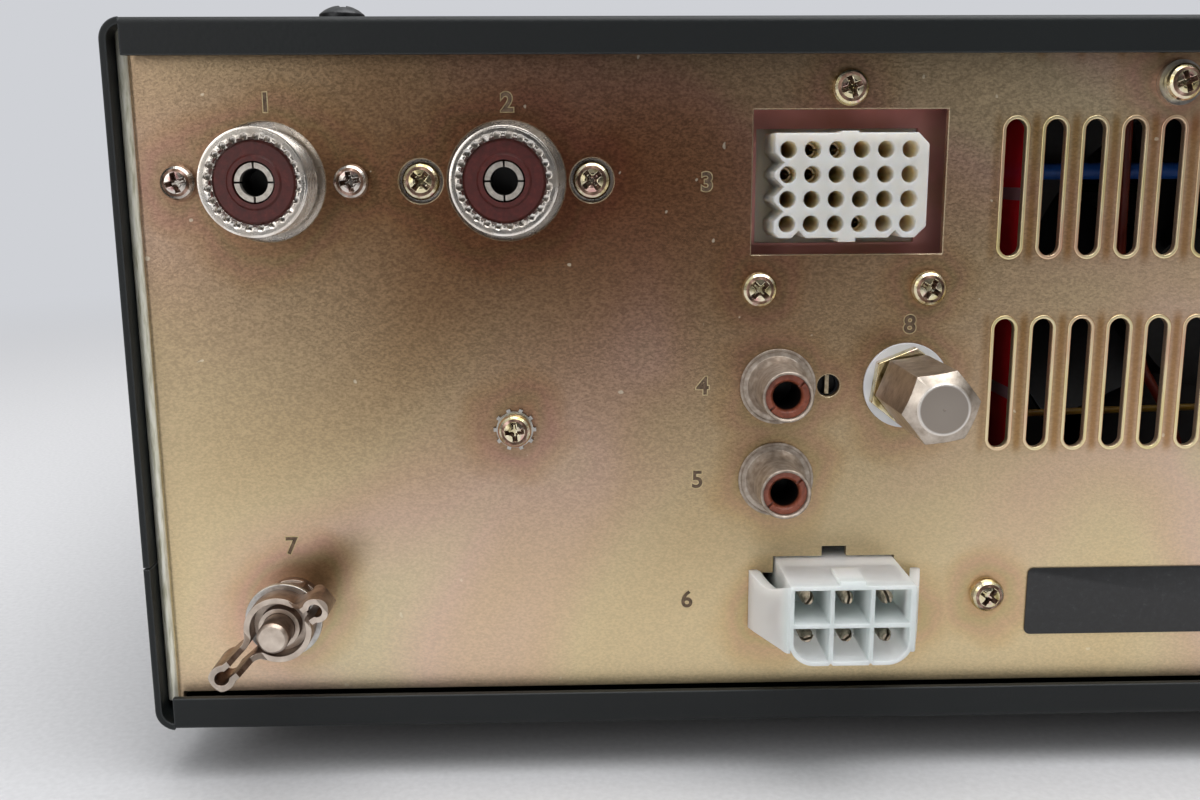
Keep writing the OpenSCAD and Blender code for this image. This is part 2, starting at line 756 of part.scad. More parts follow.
module input_socket_shell() { socket_shell(input_x); }
module input_socket_insulator() { socket_insulator(input_x); }
module input_socket_contact() { socket_contact(input_x); }
module ant_socket_shell() { socket_shell(ant_x); }
module ant_socket_insulator() { socket_insulator(ant_x); }
module ant_socket_contact() { socket_contact(ant_x); }

module socket_screws() {
    color(chromate) for (s = [-1, 1]) {
        rear_at(input_x + s * uhf_screw_x, uhf_z, seat) rotate([0, 0, 15]) cross_screw(pan_r - 0.1, pan_h, 7);
        rear_at(ant_x + s * uhf_screw_x, uhf_z, seat - ant_seat_d) rotate([0, 0, 40 * s])
            cross_screw(pan_r + 0.1, pan_h, 6);
    }
}

// ---- Accessory connector ----
// Notched outline of the moulded housing, seen from behind
module acc_outline() {
    left = -2.5 * acc_pitch - 2;
    right = 2.5 * acc_pitch + 2.8;
    low = -1.5 * acc_pitch - 2.1;
    high = 1.5 * acc_pitch + 2.45;
    cut = 1.7;
    difference() {
        union() {
            polygon([[left + cut / 2, low], [right - cut, low], [right, low + cut], [right, high - cut],
                [right - cut, high], [left, high], [left, low + cut / 2]]);
            square([2.6, high - low + 0.9], center = true);
        }
        // saw-tooth side between the rows
        for (row = [-1:1]) translate([left, row * acc_pitch]) rotate([0, 0, 45]) square(2.1, center = true);
        // V notches under the second and fifth walls
        for (s = [-1, 1]) translate([s * 2 * acc_pitch, low]) rotate([0, 0, 45]) square(1.6, center = true);
    }
}

module accessory_housing() {
    color(nylon) rear_at(acc_x, acc_z, acc_out) difference() {
        union() {
            translate([0, 0, -acc_l]) linear_extrude(acc_l) acc_outline();
            // shoulder that stops against the bracket's plate
            translate([0, 0, -acc_l]) linear_extrude(acc_l - acc_out - acc_plate_d - panel_t - seat)
                square([6 * acc_pitch + 6, 4 * acc_pitch + 5], center = true);
        }
        for (col = [1:acc_cols], row = [1:acc_rows])
            translate([(col - (acc_cols + 1) / 2) * acc_pitch, ((acc_rows + 1) / 2 - row) * acc_pitch, -acc_hole_d])
                cylinder(r = acc_hole_r, h = acc_hole_d + 1, $fn = 24);
    }
}

module accessory_contacts() {
    color(steel) rear_at(acc_x, acc_z, acc_out) for (p = acc_filled)
        translate([(p[0] - (acc_cols + 1) / 2) * acc_pitch, ((acc_rows + 1) / 2 - p[1]) * acc_pitch, seat - acc_hole_d])
            difference() {
                tube(acc_contact_r, acc_contact_r - 0.3, acc_contact_l);
                translate([-2, -0.12, acc_contact_l - 3]) cube([4, 0.24, 4]);
            }
}

module accessory_bracket() {
    plate_w = acc_window_w + 4;
    low = acc_screws[1][1] - 3.5;
    high = acc_screws[0][1] + 3.5;
    foot_t = 1;
    color(chromate) difference() {
        union() {
            // plate that holds the housing
            rear_at(acc_window_x, 0, -panel_t - acc_plate_d) translate([-plate_w / 2, low + 5])
                cube([plate_w, high - low - 10, foot_t]);
            // upper and lower webs out to the panel
            for (z = [low + 5, high - 5 - foot_t]) rear_at(acc_window_x, z, -panel_t - acc_plate_d)
                translate([-plate_w / 2, 0]) cube([plate_w, foot_t, acc_plate_d - seat]);
            // upper and lower feet behind the panel's screws
            for (z = [low, high - 5.5]) rear_at(acc_window_x, z, -panel_t - seat - foot_t)
                translate([-plate_w / 2, 0]) cube([plate_w, 5.5, foot_t]);
        }
        rear_at(acc_x, acc_z, -30) linear_extrude(40) square([6 * acc_pitch + 3.4, 4 * acc_pitch + 3], center = true);
        for (p = acc_screws) rear_at(p[0], p[1], -8) cylinder(r = screw_r + run_fit, h = 10);
    }
}

// ---- Screws of the rear panel ----
module panel_screws() {
    color(chromate) {
        for (i = [0:2]) rear_at(acc_screws[i][0], acc_screws[i][1], seat) rotate([0, 0, 50 * i])
            cross_screw(pan_r, pan_h, 6);
        rear_at(lock_screw[0], lock_screw[1], 0.6 + 2 * seat) rotate([0, 0, -5]) cross_screw(pan_r - 0.1, pan_h, 7);
        rear_at(label_screw[0], label_screw[1], seat) rotate([0, 0, 35]) cross_screw(pan_r, pan_h, 7);
        rear_at(corner_screw[0], corner_screw[1], 1 + 2 * seat) cross_screw(pan_r, pan_h, 7);
    }
}

// Toothed washer under the middle screw and plain collar under the corner screw
module lock_washer() {
    color(steel) {
        rear_at(lock_screw[0], lock_screw[1], seat) difference() {
            linear_extrude(0.6) union() {
                circle(pan_r + 0.15);
                for (i = [0:9]) rotate([0, 0, i * 36]) translate([pan_r, -0.3]) square([0.6, 0.6]);
            }
            translate([0, 0, -1]) cylinder(r = screw_hole_r, h = 4);
        }
        rear_at(corner_screw[0], corner_screw[1], seat) tube(pan_r + 0.6, screw_hole_r, 1);
    }
}

// ---- Phono jacks ----
module jack_shell(z) {
    color(nickel) rear_at(jack_x, z, seat) rotate_extrude() polygon([
        [jack_r - 0.55, -8], [jack_r, -8], [jack_r, -panel_t - 1.2], [jack_r, 0], [jack_flange_r, 0],
        [jack_flange_r, 0.5], [jack_flange_r - 0.3, 0.5], [jack_flange_r - 0.5, 0.35], [jack_r + 0.85, 0.45],
        [jack_r + 0.7, 0.95], [jack_r + 0.4, 1.4], [jack_r + 0.15, 2], [jack_r, 2.6], [jack_r, jack_out - 0.35],
        [jack_r - 0.2, jack_out - seat], [jack_r - 0.55, jack_out - 0.3]
    ]);
}

module level_jack_shell() { jack_shell(level_z); }
module send_jack_shell() { jack_shell(send_z); }

module jack_insulators() {
    color(copper_brown) for (z = [level_z, send_z]) rear_at(jack_x, z) difference() {
        translate([0, 0, -9]) cylinder(r = jack_r - 0.55 - seat, h = jack_out + 8.2);
        translate([0, 0, jack_out - 9.5]) cylinder(r = jack_bore_r, h = 12);
        translate([0, 0, jack_out - 1.4]) cylinder(r1 = jack_bore_r, r2 = jack_bore_r + 0.5, h = 0.7);
        for (a = [40, 220]) rotate([0, 0, a]) translate([jack_bore_r - 0.2, -0.2, jack_out - 1.2]) cube([2, 0.4, 3]);
    }
}

// ---- Trimmer ----
module trimmer_body() {
    color("#2b4a78") rear_at(trimmer_x, level_z, -panel_t - 0.4) difference() {
        translate([-3.1, -3.1, -5.5]) cube([6.2, 6.2, 5.5]);
        translate([0, 0, -3]) cylinder(r = trimmer_hole_r - 0.25 + run_fit, h = 4);
    }
}

module trimmer_rotor() {
    color(steel) rear_at(trimmer_x, level_z, -panel_t - 0.4) {
        translate([0, 0, -3 + slip]) cylinder(r = trimmer_hole_r - 0.25, h = 1.6);
        // screwdriver blade across the disc
        translate([-0.3, 0.3 - trimmer_hole_r, -1.4 + slip]) cube([0.6, 2 * trimmer_hole_r - 0.6, 1.4]);
    }
}

// ---- Level control ----
module level_pot() {
    color(steel) rear_at(level_x, level_z, -panel_t - seat) difference() {
        union() {
            translate([0, 0, -10]) cylinder(r = 5.9, h = 10);
            cylinder(r = level_bush_r, h = panel_t + level_washer_t + level_nut_t + 0.6);
        }
        translate([0, 0, -8]) cylinder(r = level_shaft_r + run_fit, h = 20);
    }
}

module level_washer() {
    color("#c9cbcf") rear_at(level_x, level_z, seat) tube(level_washer_r, level_bush_r + 0.1, level_washer_t);
}

module level_nut() {
    color(chromate) rear_at(level_x, level_z, level_washer_t + 2 * seat) difference() {
        rotate([0, 0, 22]) linear_extrude(level_nut_t - seat) hexagon(level_nut_flats);
        translate([0, 0, -1]) cylinder(r = level_bush_r + run_fit, h = 6);
    }
}

module level_knob() {
    color(nickel) rear_at(level_x, level_z) {
        translate([0, 0, level_knob_base]) rotate([0, 0, level_turn])
            linear_extrude(level_out - level_knob_base - 0.15) hexagon(level_flats);
        difference() {
            translate([0, 0, level_out - 1]) cylinder(r = 3.68, h = 1);
            translate([0, 0, level_out - 0.1]) cylinder(r1 = 0.05, r2 = 0.3, h = 0.2);
        }
        translate([0, 0, slip - 8]) cylinder(r = level_shaft_r, h = level_knob_base + 8);
    }
}

// ---- Power connector ----
// Outline of the housing with two rounded lower corners, shrunk by a wall
module power_outline(shrink = 0) {
    w = power_w - 2 * shrink;
    h = power_h - 2 * shrink;
    r = power_corner_r - shrink;
    translate([-w / 2, r - h / 2]) square([w, h - r]);
    translate([r - w / 2, -h / 2]) square([w - 2 * r, h]);
    for (s = [-1, 1]) translate([s * (w / 2 - r), r - h / 2]) circle(r);
}

// A side wing that springs from the housing's nose back to the panel
module power_wing() {
    intersection() {
        translate([0, power_h, 0]) rotate([90, 0, 0]) linear_extrude(2 * power_h) polygon([
            [power_w / 2 - 0.3, power_out - 0.3], [power_w / 2 - 0.3, power_out - 2.6],
            [power_wing_reach - 1.9, 1.8], [power_wing_reach - 1.3, seat], [power_wing_reach - 0.3, seat],
            [power_wing_reach, 0.4], [power_wing_reach, 1], [power_wing_reach - 0.7, 3.4],
            [power_w / 2 + 0.9, power_out - 2.2], [power_w / 2 + 0.55, power_out - 0.9],
            [power_w / 2 + 0.2, power_out - 0.3]
        ]);
        // seen from the side, the wing narrows to the panel and its upper edge is scooped
        translate([power_w / 2 - 2, 0, 0]) rotate([90, 0, 90]) linear_extrude(12) polygon([
            [1.2 - power_h / 2, 0], [2 - power_h / 2, power_out], [power_h / 2 - 0.1, power_out],
            [power_h / 2 - 0.5, power_out - 1], [power_h / 2 - 1.5, power_out - 3.4],
            [power_h / 2 - 2.3, power_out - 5.2], [power_h / 2 - 2.7, power_out - 7],
            [power_h / 2 - 2.6, power_out - 9], [power_h / 2 - 2.2, power_out - 11],
            [power_h / 2 - 1.8, power_out - 12.2], [power_h / 2 - 1.9, 0]
        ]);
    }
}

module power_housing() {
    color(nylon) rear_at(power_x, power_z) difference() {
        union() {
            translate([0, 0, -power_back_l]) linear_extrude(power_out + power_back_l) power_outline();
            for (s = [0, 1]) mirror([s, 0, 0]) power_wing();
            // latch ramp on top
            translate([-2, power_h / 2 - 0.1, power_out - 6.5]) rotate([90, 0, 90]) linear_extrude(4)
                polygon([[0, 0], [0.8, 0], [0.8, 6.3], [0.3, 6.5], [0, 6.5]]);
        }
        for (col = [-1:1], row = [-0.5, 0.5]) translate([col * power_pitch, row * power_pitch, power_out - power_cell_d])
            linear_extrude(power_cell_d + 1) intersection() {
                square(power_cell, center = true);
                translate([-col * power_pitch, -row * power_pitch]) power_outline(power_wall);
            }
        // holes for the pins and two small notches under the housing's nose
        for (col = [-1:1], row = [-0.5, 0.5]) translate([col * power_pitch, row * power_pitch, -power_back_l - 1])
            cylinder(r = power_pin_r + seat, h = 2 * power_back_l);
        for (s = [-1, 1]) translate([s * power_pitch / 2, -power_h / 2, power_out - 3]) rotate([0, 0, 45])
            cube([0.5, 0.5, 8], center = true);
    }
}

module power_pins() {
    color(steel) for (col = [-1:1], row = [-0.5, 0.5])
        rear_at(power_x + col * power_pitch, power_z + row * power_pitch, -power_back_l) difference() {
            union() {
                cylinder(r = power_pin_r, h = power_out + power_back_l - 4);
                translate([0, 0, power_out + power_back_l - 4])
                    cylinder(r1 = power_pin_r, r2 = power_pin_r * 0.55, h = 1.2);
            }
            rotate([0, 0, 60 + 25 * col + 40 * row]) translate([-2, -0.2, power_out + power_back_l - 7]) cube([4, 0.4, 8]);
        }
}

// ---- Ground terminal ----
module ground_stud() {
    color(nickel) rear_at(ground_x, ground_z) {
        translate([0, 0, -8]) cylinder(r = stud_r, h = 8 + stud_out - 0.5);
        translate([0, 0, stud_out - 0.5]) cylinder(r1 = stud_r, r2 = stud_r - 0.45, h = 0.5);
        translate([0, 0, -panel_t - seat - 3]) linear_extrude(3) hexagon(8);
        // spring washer and the nut that holds the stud
        translate([0, 0, seat]) cylinder(r = 4.45, h = lock_nut_out - 3.9 - seat);
        translate([0, 0, lock_nut_out - 4]) linear_extrude(4) hexagon(8);
    }
}

module ground_washers() {
    bore = stud_r + run_fit;
    color(steel) rear_at(ground_x, ground_z, lock_nut_out + washer_gap) {
        difference() {
            tube(spring_washer_r, bore, spring_washer_t);
            rotate([0, 0, 60]) translate([0, -0.4, -1]) rotate([25, 0, 0]) cube([8, 0.8, 5]);
        }
        translate([0, 0, spring_washer_t + seat]) tube(flat_washer_r, bore, flat_washer_t);
    }
}

// Outline of the folded strip that makes the nut's ring and both wings
module wing_strip(inset) {
    fillet = 1.5;
    across = wing_neck_r + fillet;
    along = sqrt(pow(nut_ring_r + fillet, 2) - across * across);
    tangent = 0.97 * (nut_ring_r - inset) / (nut_ring_r + fillet);
    circle(nut_ring_r - inset);
    for (s = [-1, 1]) {
        translate([s * (wing_r - wing_loop_r), 0]) circle(wing_loop_r - inset);
        translate([s * (wing_r - wing_loop_r) / 2, 0])
            square([wing_r - wing_loop_r, 2 * (wing_neck_r - inset)], center = true);
        // rounded corners between the ring and the neck
        difference() {
            polygon([[0, 0], [s * tangent * along, tangent * across], [s * along, across], [s * along, -across],
                [s * tangent * along, -tangent * across]]);
            for (t = [-1, 1]) translate([s * along, t * across]) circle(fillet + inset + 0.03);
        }
    }
}

module wing_nut() {
    base = nut_base_out;
    color(nickel) rear_at(ground_x, ground_z) rotate([0, 0, wing_angle]) union() {
        intersection() {
            translate([0, 0, base]) linear_extrude(wing_out - base) difference() {
                wing_strip(0);
                wing_strip(wing_t);
            }
            // side view: a low ring with wings that rise outwards
            translate([0, 8, 0]) rotate([90, 0, 0]) linear_extrude(16) polygon([
                [-nut_ring_r, base], [nut_ring_r, base], [wing_r - 0.8, base + 3.6], [wing_r + 0.1, base + 5.4],
                [wing_r + 0.1, wing_out - 0.6], [wing_r - 0.6, wing_out], [wing_r - 2 * wing_loop_r, wing_out - 0.9],
                [nut_ring_r + 0.6, nut_ring_out + 1.2], [nut_ring_r - 0.9, nut_ring_out],
                [0.9 - nut_ring_r, nut_ring_out], [-nut_ring_r - 0.6, nut_ring_out + 1.2],
                [2 * wing_loop_r - wing_r, wing_out - 0.9], [0.6 - wing_r, wing_out], [-wing_r - 0.1, wing_out - 0.6],
                [-wing_r - 0.1, base + 5.4], [0.8 - wing_r, base + 3.6]
            ]);
        }
        // threaded hub
        translate([0, 0, base]) difference() {
            cylinder(r = nut_ring_r - wing_t + 0.1, h = 1);
            translate([0, 0, -1]) cylinder(r = stud_r + run_fit, h = 8);
        }
        translate([0, 0, base]) difference() {
            cylinder(r = stud_r + 0.75, h = 2.9);
            translate([0, 0, -1]) cylinder(r = stud_r + run_fit, h = 8);
        }
    }
}

// ---- Cooling ----
module heat_sink() {
    span = sink_w - sink_fin_t;
    color(aluminium) translate([case_w / 2 - sink_x, panel_y - sink_back_d - sink_l, foot_h]) {
        translate([-sink_w / 2, 0, sink_top_z - sink_base_t]) cube([sink_w, sink_l, sink_base_t]);
        for (i = [0:sink_fins - 1]) translate([i * span / (sink_fins - 1) - sink_w / 2, 0, sink_low_z])
            cube([sink_fin_t, sink_l, sink_top_z - sink_base_t - sink_low_z + 0.01]);
        // feet that stand on the deck
        for (s = [-1, 1]) translate([s * (sink_w - sink_fin_t) / 2 - sink_fin_t / 2, 4, deck_z + chassis_t + seat])
            cube([sink_fin_t, sink_l - 8, sink_low_z - deck_z]);
    }
}

module fan_frame() {
    hole_at = fan_w / 2 - 4.3;
    color(black_plastic) rear_at(fan_x, fan_z, -fan_front_d) difference() {
        union() {
            difference() {
                linear_extrude(fan_d) round_rect(fan_w, fan_w, 4);
                translate([0, 0, -1]) cylinder(r = fan_bore_r, h = fan_d + 2);
                for (sx = [-1, 1], sy = [-1, 1]) translate([sx * hole_at, sy * hole_at, -1])
                    cylinder(r = 2.15, h = fan_d + 2);
            }
            // motor seat on three spokes at the inner side
            cylinder(r = fan_hub_r, h = 4);
            for (a = [90, 210, 330]) rotate([0, 0, a]) translate([0, -2, 0]) cube([fan_bore_r + 1, 4, 3.5]);
        }
        translate([0, 0, 1]) cylinder(r = fan_axle_r + run_fit, h = 8);
    }
    // foot that carries the frame on the deck
    color(chromate) rear_at(fan_x, deck_z + chassis_t + seat, -fan_front_d)
        translate([-fan_w / 2 + 6, 0, 4]) cube([fan_w - 12, fan_z - fan_w / 2 - deck_z - chassis_t - 2 * seat, fan_d - 8]);
}

module fan_rotor() {
    color("#1c1d1f") rear_at(fan_x, fan_z, -fan_front_d) {
        translate([0, 0, 4 + slip]) cylinder(r = fan_hub_r, h = fan_d - 5);
        translate([0, 0, 1 + slip]) cylinder(r = fan_axle_r, h = 5);
        for (i = [0:fan_blades - 1]) rotate([0, 0, i * 360 / fan_blades]) translate([fan_hub_r - 0.8, 0, fan_d / 2 + 1.5])
            rotate([38, 0, 0]) translate([0, -10, -0.75]) cube([fan_bore_r - fan_hub_r - 1.6, 20, 1.5]);
    }
}

// ---- Amplifier ----
module amplifier_board() {
    color(board_green) translate([case_w / 2 - sink_x - sink_w / 2 + 4, panel_y - sink_back_d - sink_l + 6,
            foot_h + sink_top_z + seat]) difference() {
        cube([sink_w - 8, sink_l - 12, board_t]);
        // windows through which the transistors reach the heat sink
        for (s = [-1, 1], row = [0, 1]) translate([(sink_w - 8) / 2 + s * 17 - transistor_size[0] / 2 - 0.5,
                38 + row * transistor_pitch - transistor_size[1] / 2 - 0.5, -1])
            cube([transistor_size[0] + 1, transistor_size[1] + 1, 5]);
    }
}

module power_transistors() {
    color("#c8b27a") for (s = [-1, 1], row = [0, 1])
        translate([case_w / 2 - sink_x + s * 17, panel_y - sink_back_d - sink_l + 44 + row * transistor_pitch,
                foot_h + sink_top_z + seat]) {
            translate([-transistor_size[0] / 2, -transistor_size[1] / 2, 0]) cube(transistor_size);
            translate([0, 0, transistor_size[2] - seat]) cylinder(r = transistor_size[0] / 2 - 0.2, h = 4);
        }
}

module ferrite_transformers() {
    top = foot_h + sink_top_z + board_t + 2 * seat;
    color("#3a3a3c") for (row = [0, 1], s = [-1, 1]) translate([case_w / 2 - sink_x + s * (core_size[0] + 1.4) / 2 - core_size[0] / 2,
            panel_y - sink_back_d - sink_l + 58 + row * transistor_pitch, top]) difference() {
        cube(core_size);
        translate([core_size[0] / 2, -1, core_size[2] / 2]) rotate([-90, 0, 0])
            cylinder(r = core_size[0] / 4, h = core_size[1] + 2);
    }
}

// ---- Low-pass filter ----
filter_left = 10;
filter_right = sink_x - sink_w / 2 - 9;
filter_x = (filter_left + filter_right) / 2;
filter_w = filter_right - filter_left;
filter_l = 190;
coil_pitch = 30;
coil_r = 8;
coil_wire_r = 3.4;
relay_size = [20, 15, 18];
sheet_x = 140.4;
sheet_t = 1.2;
sheet_back = 17;
sheet_w = 14.5;
sheet_top_gap = 6.25;
transistor_size = [12, 24, 2.4];
transistor_pitch = 62;
core_size = [13, 24, 13];
filter_top_z = deck_z + chassis_t + 7;
filter_back_d = 46;
module filter_board() {
    color(board_green) translate([case_w / 2 - filter_x - filter_w / 2, panel_y - filter_back_d - filter_l, foot_h]) {
        translate([0, 0, filter_top_z]) cube([filter_w, filter_l, board_t]);
        for (x = [6, filter_w - 6], y = [6, filter_l - 6]) translate([x, y, deck_z + chassis_t + seat])
            cylinder(r = 3, h = filter_top_z - deck_z - chassis_t);
    }
}

module filter_coils() {
    color("#b0703a") for (row = [0:5], col = [0, 1])
        translate([case_w / 2 - filter_x + (col - 0.5) * 0.75 * filter_w, panel_y - filter_back_d - 20 - row * coil_pitch,
                foot_h + filter_top_z + board_t + coil_r + coil_wire_r + 0.1 + seat]) rotate([90, 0, 0])
            rotate_extrude() translate([coil_r, 0]) circle(r = coil_wire_r, $fn = 24);
}

module relays() {
    color("#5b6f8c") for (row = [0:2]) translate([case_w / 2 - filter_x - relay_size[0] / 2,
            panel_y - filter_back_d - 12 - relay_size[1] - row * coil_pitch, foot_h + filter_top_z + board_t + seat])
        cube(relay_size);
}

module insulating_plate() {
    color("#7a1118") translate([case_w / 2 - sheet_x, panel_y - sheet_back, foot_h + deck_z + chassis_t + seat])
        cube([sheet_t, sheet_w, panel_top_z - panel_t - sheet_top_gap - deck_z - chassis_t]);
}

module blue_wire() { color("#1d4f9a") wire(blue_route, blue_r); }
module yellow_wire() { color("#8a6a22") wire(yellow_route, yellow_r); }
module red_wire() { color("#b23a22") wire(red_route, red_r); }

// ---- Front switches ----
module front_switches() {
    back = bezel_d - rim_d + 4 + chassis_t;
    // rotary switches with their threaded bushes
    color(steel) for (p = [[band_x, band_z], [meter_knob_x, band_z]]) front_at(p[0], p[1], -back - seat) difference() {
        union() {
            translate([0, 0, -switch_d]) cylinder(r = switch_r, h = switch_d);
            cylinder(r = bush_r, h = back + 1.5);
        }
        translate([0, 0, -switch_d - 1]) cylinder(r = shaft_r + run_fit, h = switch_d + back + 10);
    }
    // push switches that take the buttons' stems
    color(steel) for (x = [power_button_x, amp_button_x])
        front_at(x, button_z, chassis_t + seat - back) difference() {
            linear_extrude(10) square([button_stem + 8, button_stem + 6], center = true);
            translate([0, 0, 1.5]) linear_extrude(10) square(button_stem + 2 * slip, center = true);
        }
}

wafer_first = 70;
wafer_step = 26;
wafer_count = 3;
module switch_wafers() {
    color("#8b6a45") for (i = [0:wafer_count - 1]) front_at(band_x, band_z, -wafer_first - i * wafer_step) difference() {
        union() {
            cylinder(r = 17, h = 2);
            translate([-16, filter_top_z + board_t + seat - band_z, 0]) cube([32, band_z - filter_top_z - board_t - 8, 2]);
        }
        translate([0, 0, -1]) cylinder(r = shaft_r + run_fit, h = 4);
    }
}

module band_shaft() {
    color(steel) front_at(band_x, band_z, -wafer_first - wafer_count * wafer_step)
        cylinder(r = shaft_r, h = wafer_first + wafer_count * wafer_step + knob_out - 4);
}

// A fluted knob with its pointer line, drawn on Z = 0 and h high
module knob(r, h, flutes) {
    grip_r = r - 1.4;
    difference() {
        union() {
            cylinder(r = r, h = 2.6);
            translate([0, 0, 2.6]) cylinder(r1 = r, r2 = r - 0.9, h = 0.9);
            translate([0, 0, 3]) linear_extrude(h - 4) difference() {
                circle(grip_r);
                for (i = [0:flutes - 1]) rotate([0, 0, (i + 0.5) * 360 / flutes]) translate([grip_r + 0.35, 0])
                    circle(r = 0.9, $fn = 16);
            }
            translate([0, 0, h - 1.1]) cylinder(r1 = grip_r - 0.9, r2 = grip_r - 1.7, h = 1.1);
        }
        translate([-0.6, r * 0.3, h - 0.6]) cube([1.2, r * 0.5, 2]);
    }
}

module band_knob() {
    color(black_plastic) front_at(band_x, band_z, 2) difference() {
        knob(band_r, knob_out - 2, 30);
        translate([0, 0, -1]) cylinder(r = shaft_r + seat, h = knob_out - 4);
    }
}

module meter_knob() {
    back = bezel_d - rim_d + 4 + chassis_t + switch_d;
    color(black_plastic) front_at(meter_knob_x, band_z) {
        translate([0, 0, 2]) knob(meter_knob_r, knob_out - 5, 20);
        translate([0, 0, -back]) cylinder(r = shaft_r, h = back + 4);
    }
}

// ---- Meter ----
module meter_case() {
    color("#202225") front_at(meter_x, meter_z, -face_t - seat) difference() {
        translate([0, 0, -meter_depth]) linear_extrude(meter_depth) round_rect(meter_w + 6, meter_h + 6, 3);
        translate([0, 0, -6]) linear_extrude(7) round_rect(meter_w + 2, meter_h + 2, 2);
    }
}

// Scale plate and the boss that carries the needle's pivot
module meter_movement() {
    color("#e8e2cf") front_at(meter_x, meter_z, -face_t - 6) difference() {
        union() {
            linear_extrude(0.8) round_rect(meter_w + 1.8, meter_h + 1.8, 2);
            translate([0, needle_pivot_z - meter_z, 0]) cylinder(r = 4, h = 2);
        }
        translate([0, needle_pivot_z - meter_z, 0.2]) cylinder(r = 0.8 + run_fit, h = 4);
    }
}

module meter_needle() {
    color("#b3261e") front_at(meter_x, needle_pivot_z, -face_t - 6) {
        translate([0, 0, 0.5]) cylinder(r = 0.8, h = 2.5);
        translate([0, 0, 2.4]) cylinder(r = 2.6, h = 1.2);
        rotate([0, 0, 135]) translate([0, -0.4, 2.7]) cube([needle_l, 0.8, 0.5]);
    }
}

module meter_lens() {
    color("#cfd8dc") front_at(meter_x, meter_z, -face_t + 0.6) linear_extrude(lens_t)
        round_rect(meter_w - 2 * seat, meter_h - 2 * seat, 2 - seat);
}

// ---- Push buttons ----
module push_button(x) {
    color("#2a2c2f") front_at(x, button_z) {
        translate([0, 0, -face_t - 1]) linear_extrude(face_t + 1 + button_out) round_rect(button_w, button_h, 1);
        // collar behind the face and stem into the switch
        translate([0, 0, -face_t - slip - 1.5]) linear_extrude(1.5) square([button_w + 4, button_h + 4], center = true);
        translate([0, 0, -face_t - 12]) linear_extrude(11.5) square(button_stem, center = true);
    }
}

module power_button() { push_button(power_button_x); }
module amp_button() { push_button(amp_button_x); }

// ---- The whole ----
top_cover();
bottom_cover();
cover_screws();
rubber_feet();
foot_screws();
rear_panel();
side_frames();
chassis_deck();
front_subpanel();
front_panel();
input_socket_shell();
input_socket_insulator();
input_socket_contact();
ant_socket_shell();
ant_socket_insulator();
ant_socket_contact();
socket_screws();
accessory_housing();
accessory_contacts();
accessory_bracket();
panel_screws();
lock_washer();
level_jack_shell();
send_jack_shell();
jack_insulators();
trimmer_body();
trimmer_rotor();
level_pot();
level_washer();
level_nut();
level_knob();
power_housing();
power_pins();
ground_stud();
ground_washers();
wing_nut();
heat_sink();
fan_frame();
fan_rotor();
amplifier_board();
power_transistors();
ferrite_transformers();
filter_board();
filter_coils();
relays();
insulating_plate();
blue_wire();
yellow_wire();
red_wire();
switch_wafers();
front_switches();
band_shaft();
band_knob();
meter_knob();
meter_case();
meter_movement();
meter_needle();
meter_lens();
power_button();
amp_button();
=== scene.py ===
import bpy, bmesh, json, math
from mathutils import Matrix, Vector


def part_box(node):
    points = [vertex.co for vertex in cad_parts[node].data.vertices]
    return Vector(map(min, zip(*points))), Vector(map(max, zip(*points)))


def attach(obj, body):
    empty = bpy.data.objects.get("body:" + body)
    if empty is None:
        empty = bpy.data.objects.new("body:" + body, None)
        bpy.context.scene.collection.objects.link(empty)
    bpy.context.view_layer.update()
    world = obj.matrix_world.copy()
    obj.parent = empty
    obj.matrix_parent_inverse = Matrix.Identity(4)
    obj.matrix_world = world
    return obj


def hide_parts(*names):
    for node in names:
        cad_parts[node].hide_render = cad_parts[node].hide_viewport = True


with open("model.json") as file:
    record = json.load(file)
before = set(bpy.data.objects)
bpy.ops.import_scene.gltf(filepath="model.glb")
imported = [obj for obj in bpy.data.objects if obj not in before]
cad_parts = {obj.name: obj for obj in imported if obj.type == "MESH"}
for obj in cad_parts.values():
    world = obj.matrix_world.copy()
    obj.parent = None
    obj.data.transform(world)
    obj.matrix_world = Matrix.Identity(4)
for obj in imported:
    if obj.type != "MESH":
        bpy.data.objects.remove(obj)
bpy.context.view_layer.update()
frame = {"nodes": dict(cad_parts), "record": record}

# ---- Camera ----
# The viewer stands close behind the cabinet, a little above its middle, and looks down at the rear panel.
# Places on the rear panel are millimetres from the case's left edge and bottom, seen from behind.
MM = 0.001
CASE_WIDTH, FOOT_HEIGHT = 241.0, 9.0
PANEL_Y = 150.8


def panel_point(x, z, out=0.0):
    """A place on the rear panel, or out millimetres from it towards the viewer."""
    return Vector(((CASE_WIDTH / 2 - x) * MM, (PANEL_Y + out) * MM, (FOOT_HEIGHT + z) * MM))


YAW, PITCH, ROLL = -0.0242, -0.1938, -0.0054
bpy.ops.object.camera_add()
camera = bpy.context.object
camera.name = "camera"
camera.data.lens, camera.data.sensor_width, camera.data.clip_start = 34.88, 36, 0.01
camera.matrix_world = (Matrix.Translation(panel_point(67.95, 88.62, 179.72))
                       @ Matrix.Rotation(math.pi + YAW, 4, "Z")
                       @ Matrix.Rotation(math.pi / 2 + PITCH, 4, "X")
                       @ Matrix.Rotation(ROLL, 4, "Z"))
bpy.context.scene.camera = camera
bpy.context.scene.view_settings.view_transform = "Standard"


# ---- Floor and light ----
# A matt pale table top fades into a pale room, lit by a broad soft lamp overhead and a weak one beside the viewer.
# The room is dark at eye level and bright overhead, which gives the metal parts their shading.
def shade(hex_code):
    """A colour written in sRGB hex as Blender's linear colour."""
    channels = [int(hex_code[i:i + 2], 16) / 255 for i in (1, 3, 5)]
    return [c / 12.92 if c <= 0.04045 else ((c + 0.055) / 1.055) ** 2.4 for c in channels] + [1.0]


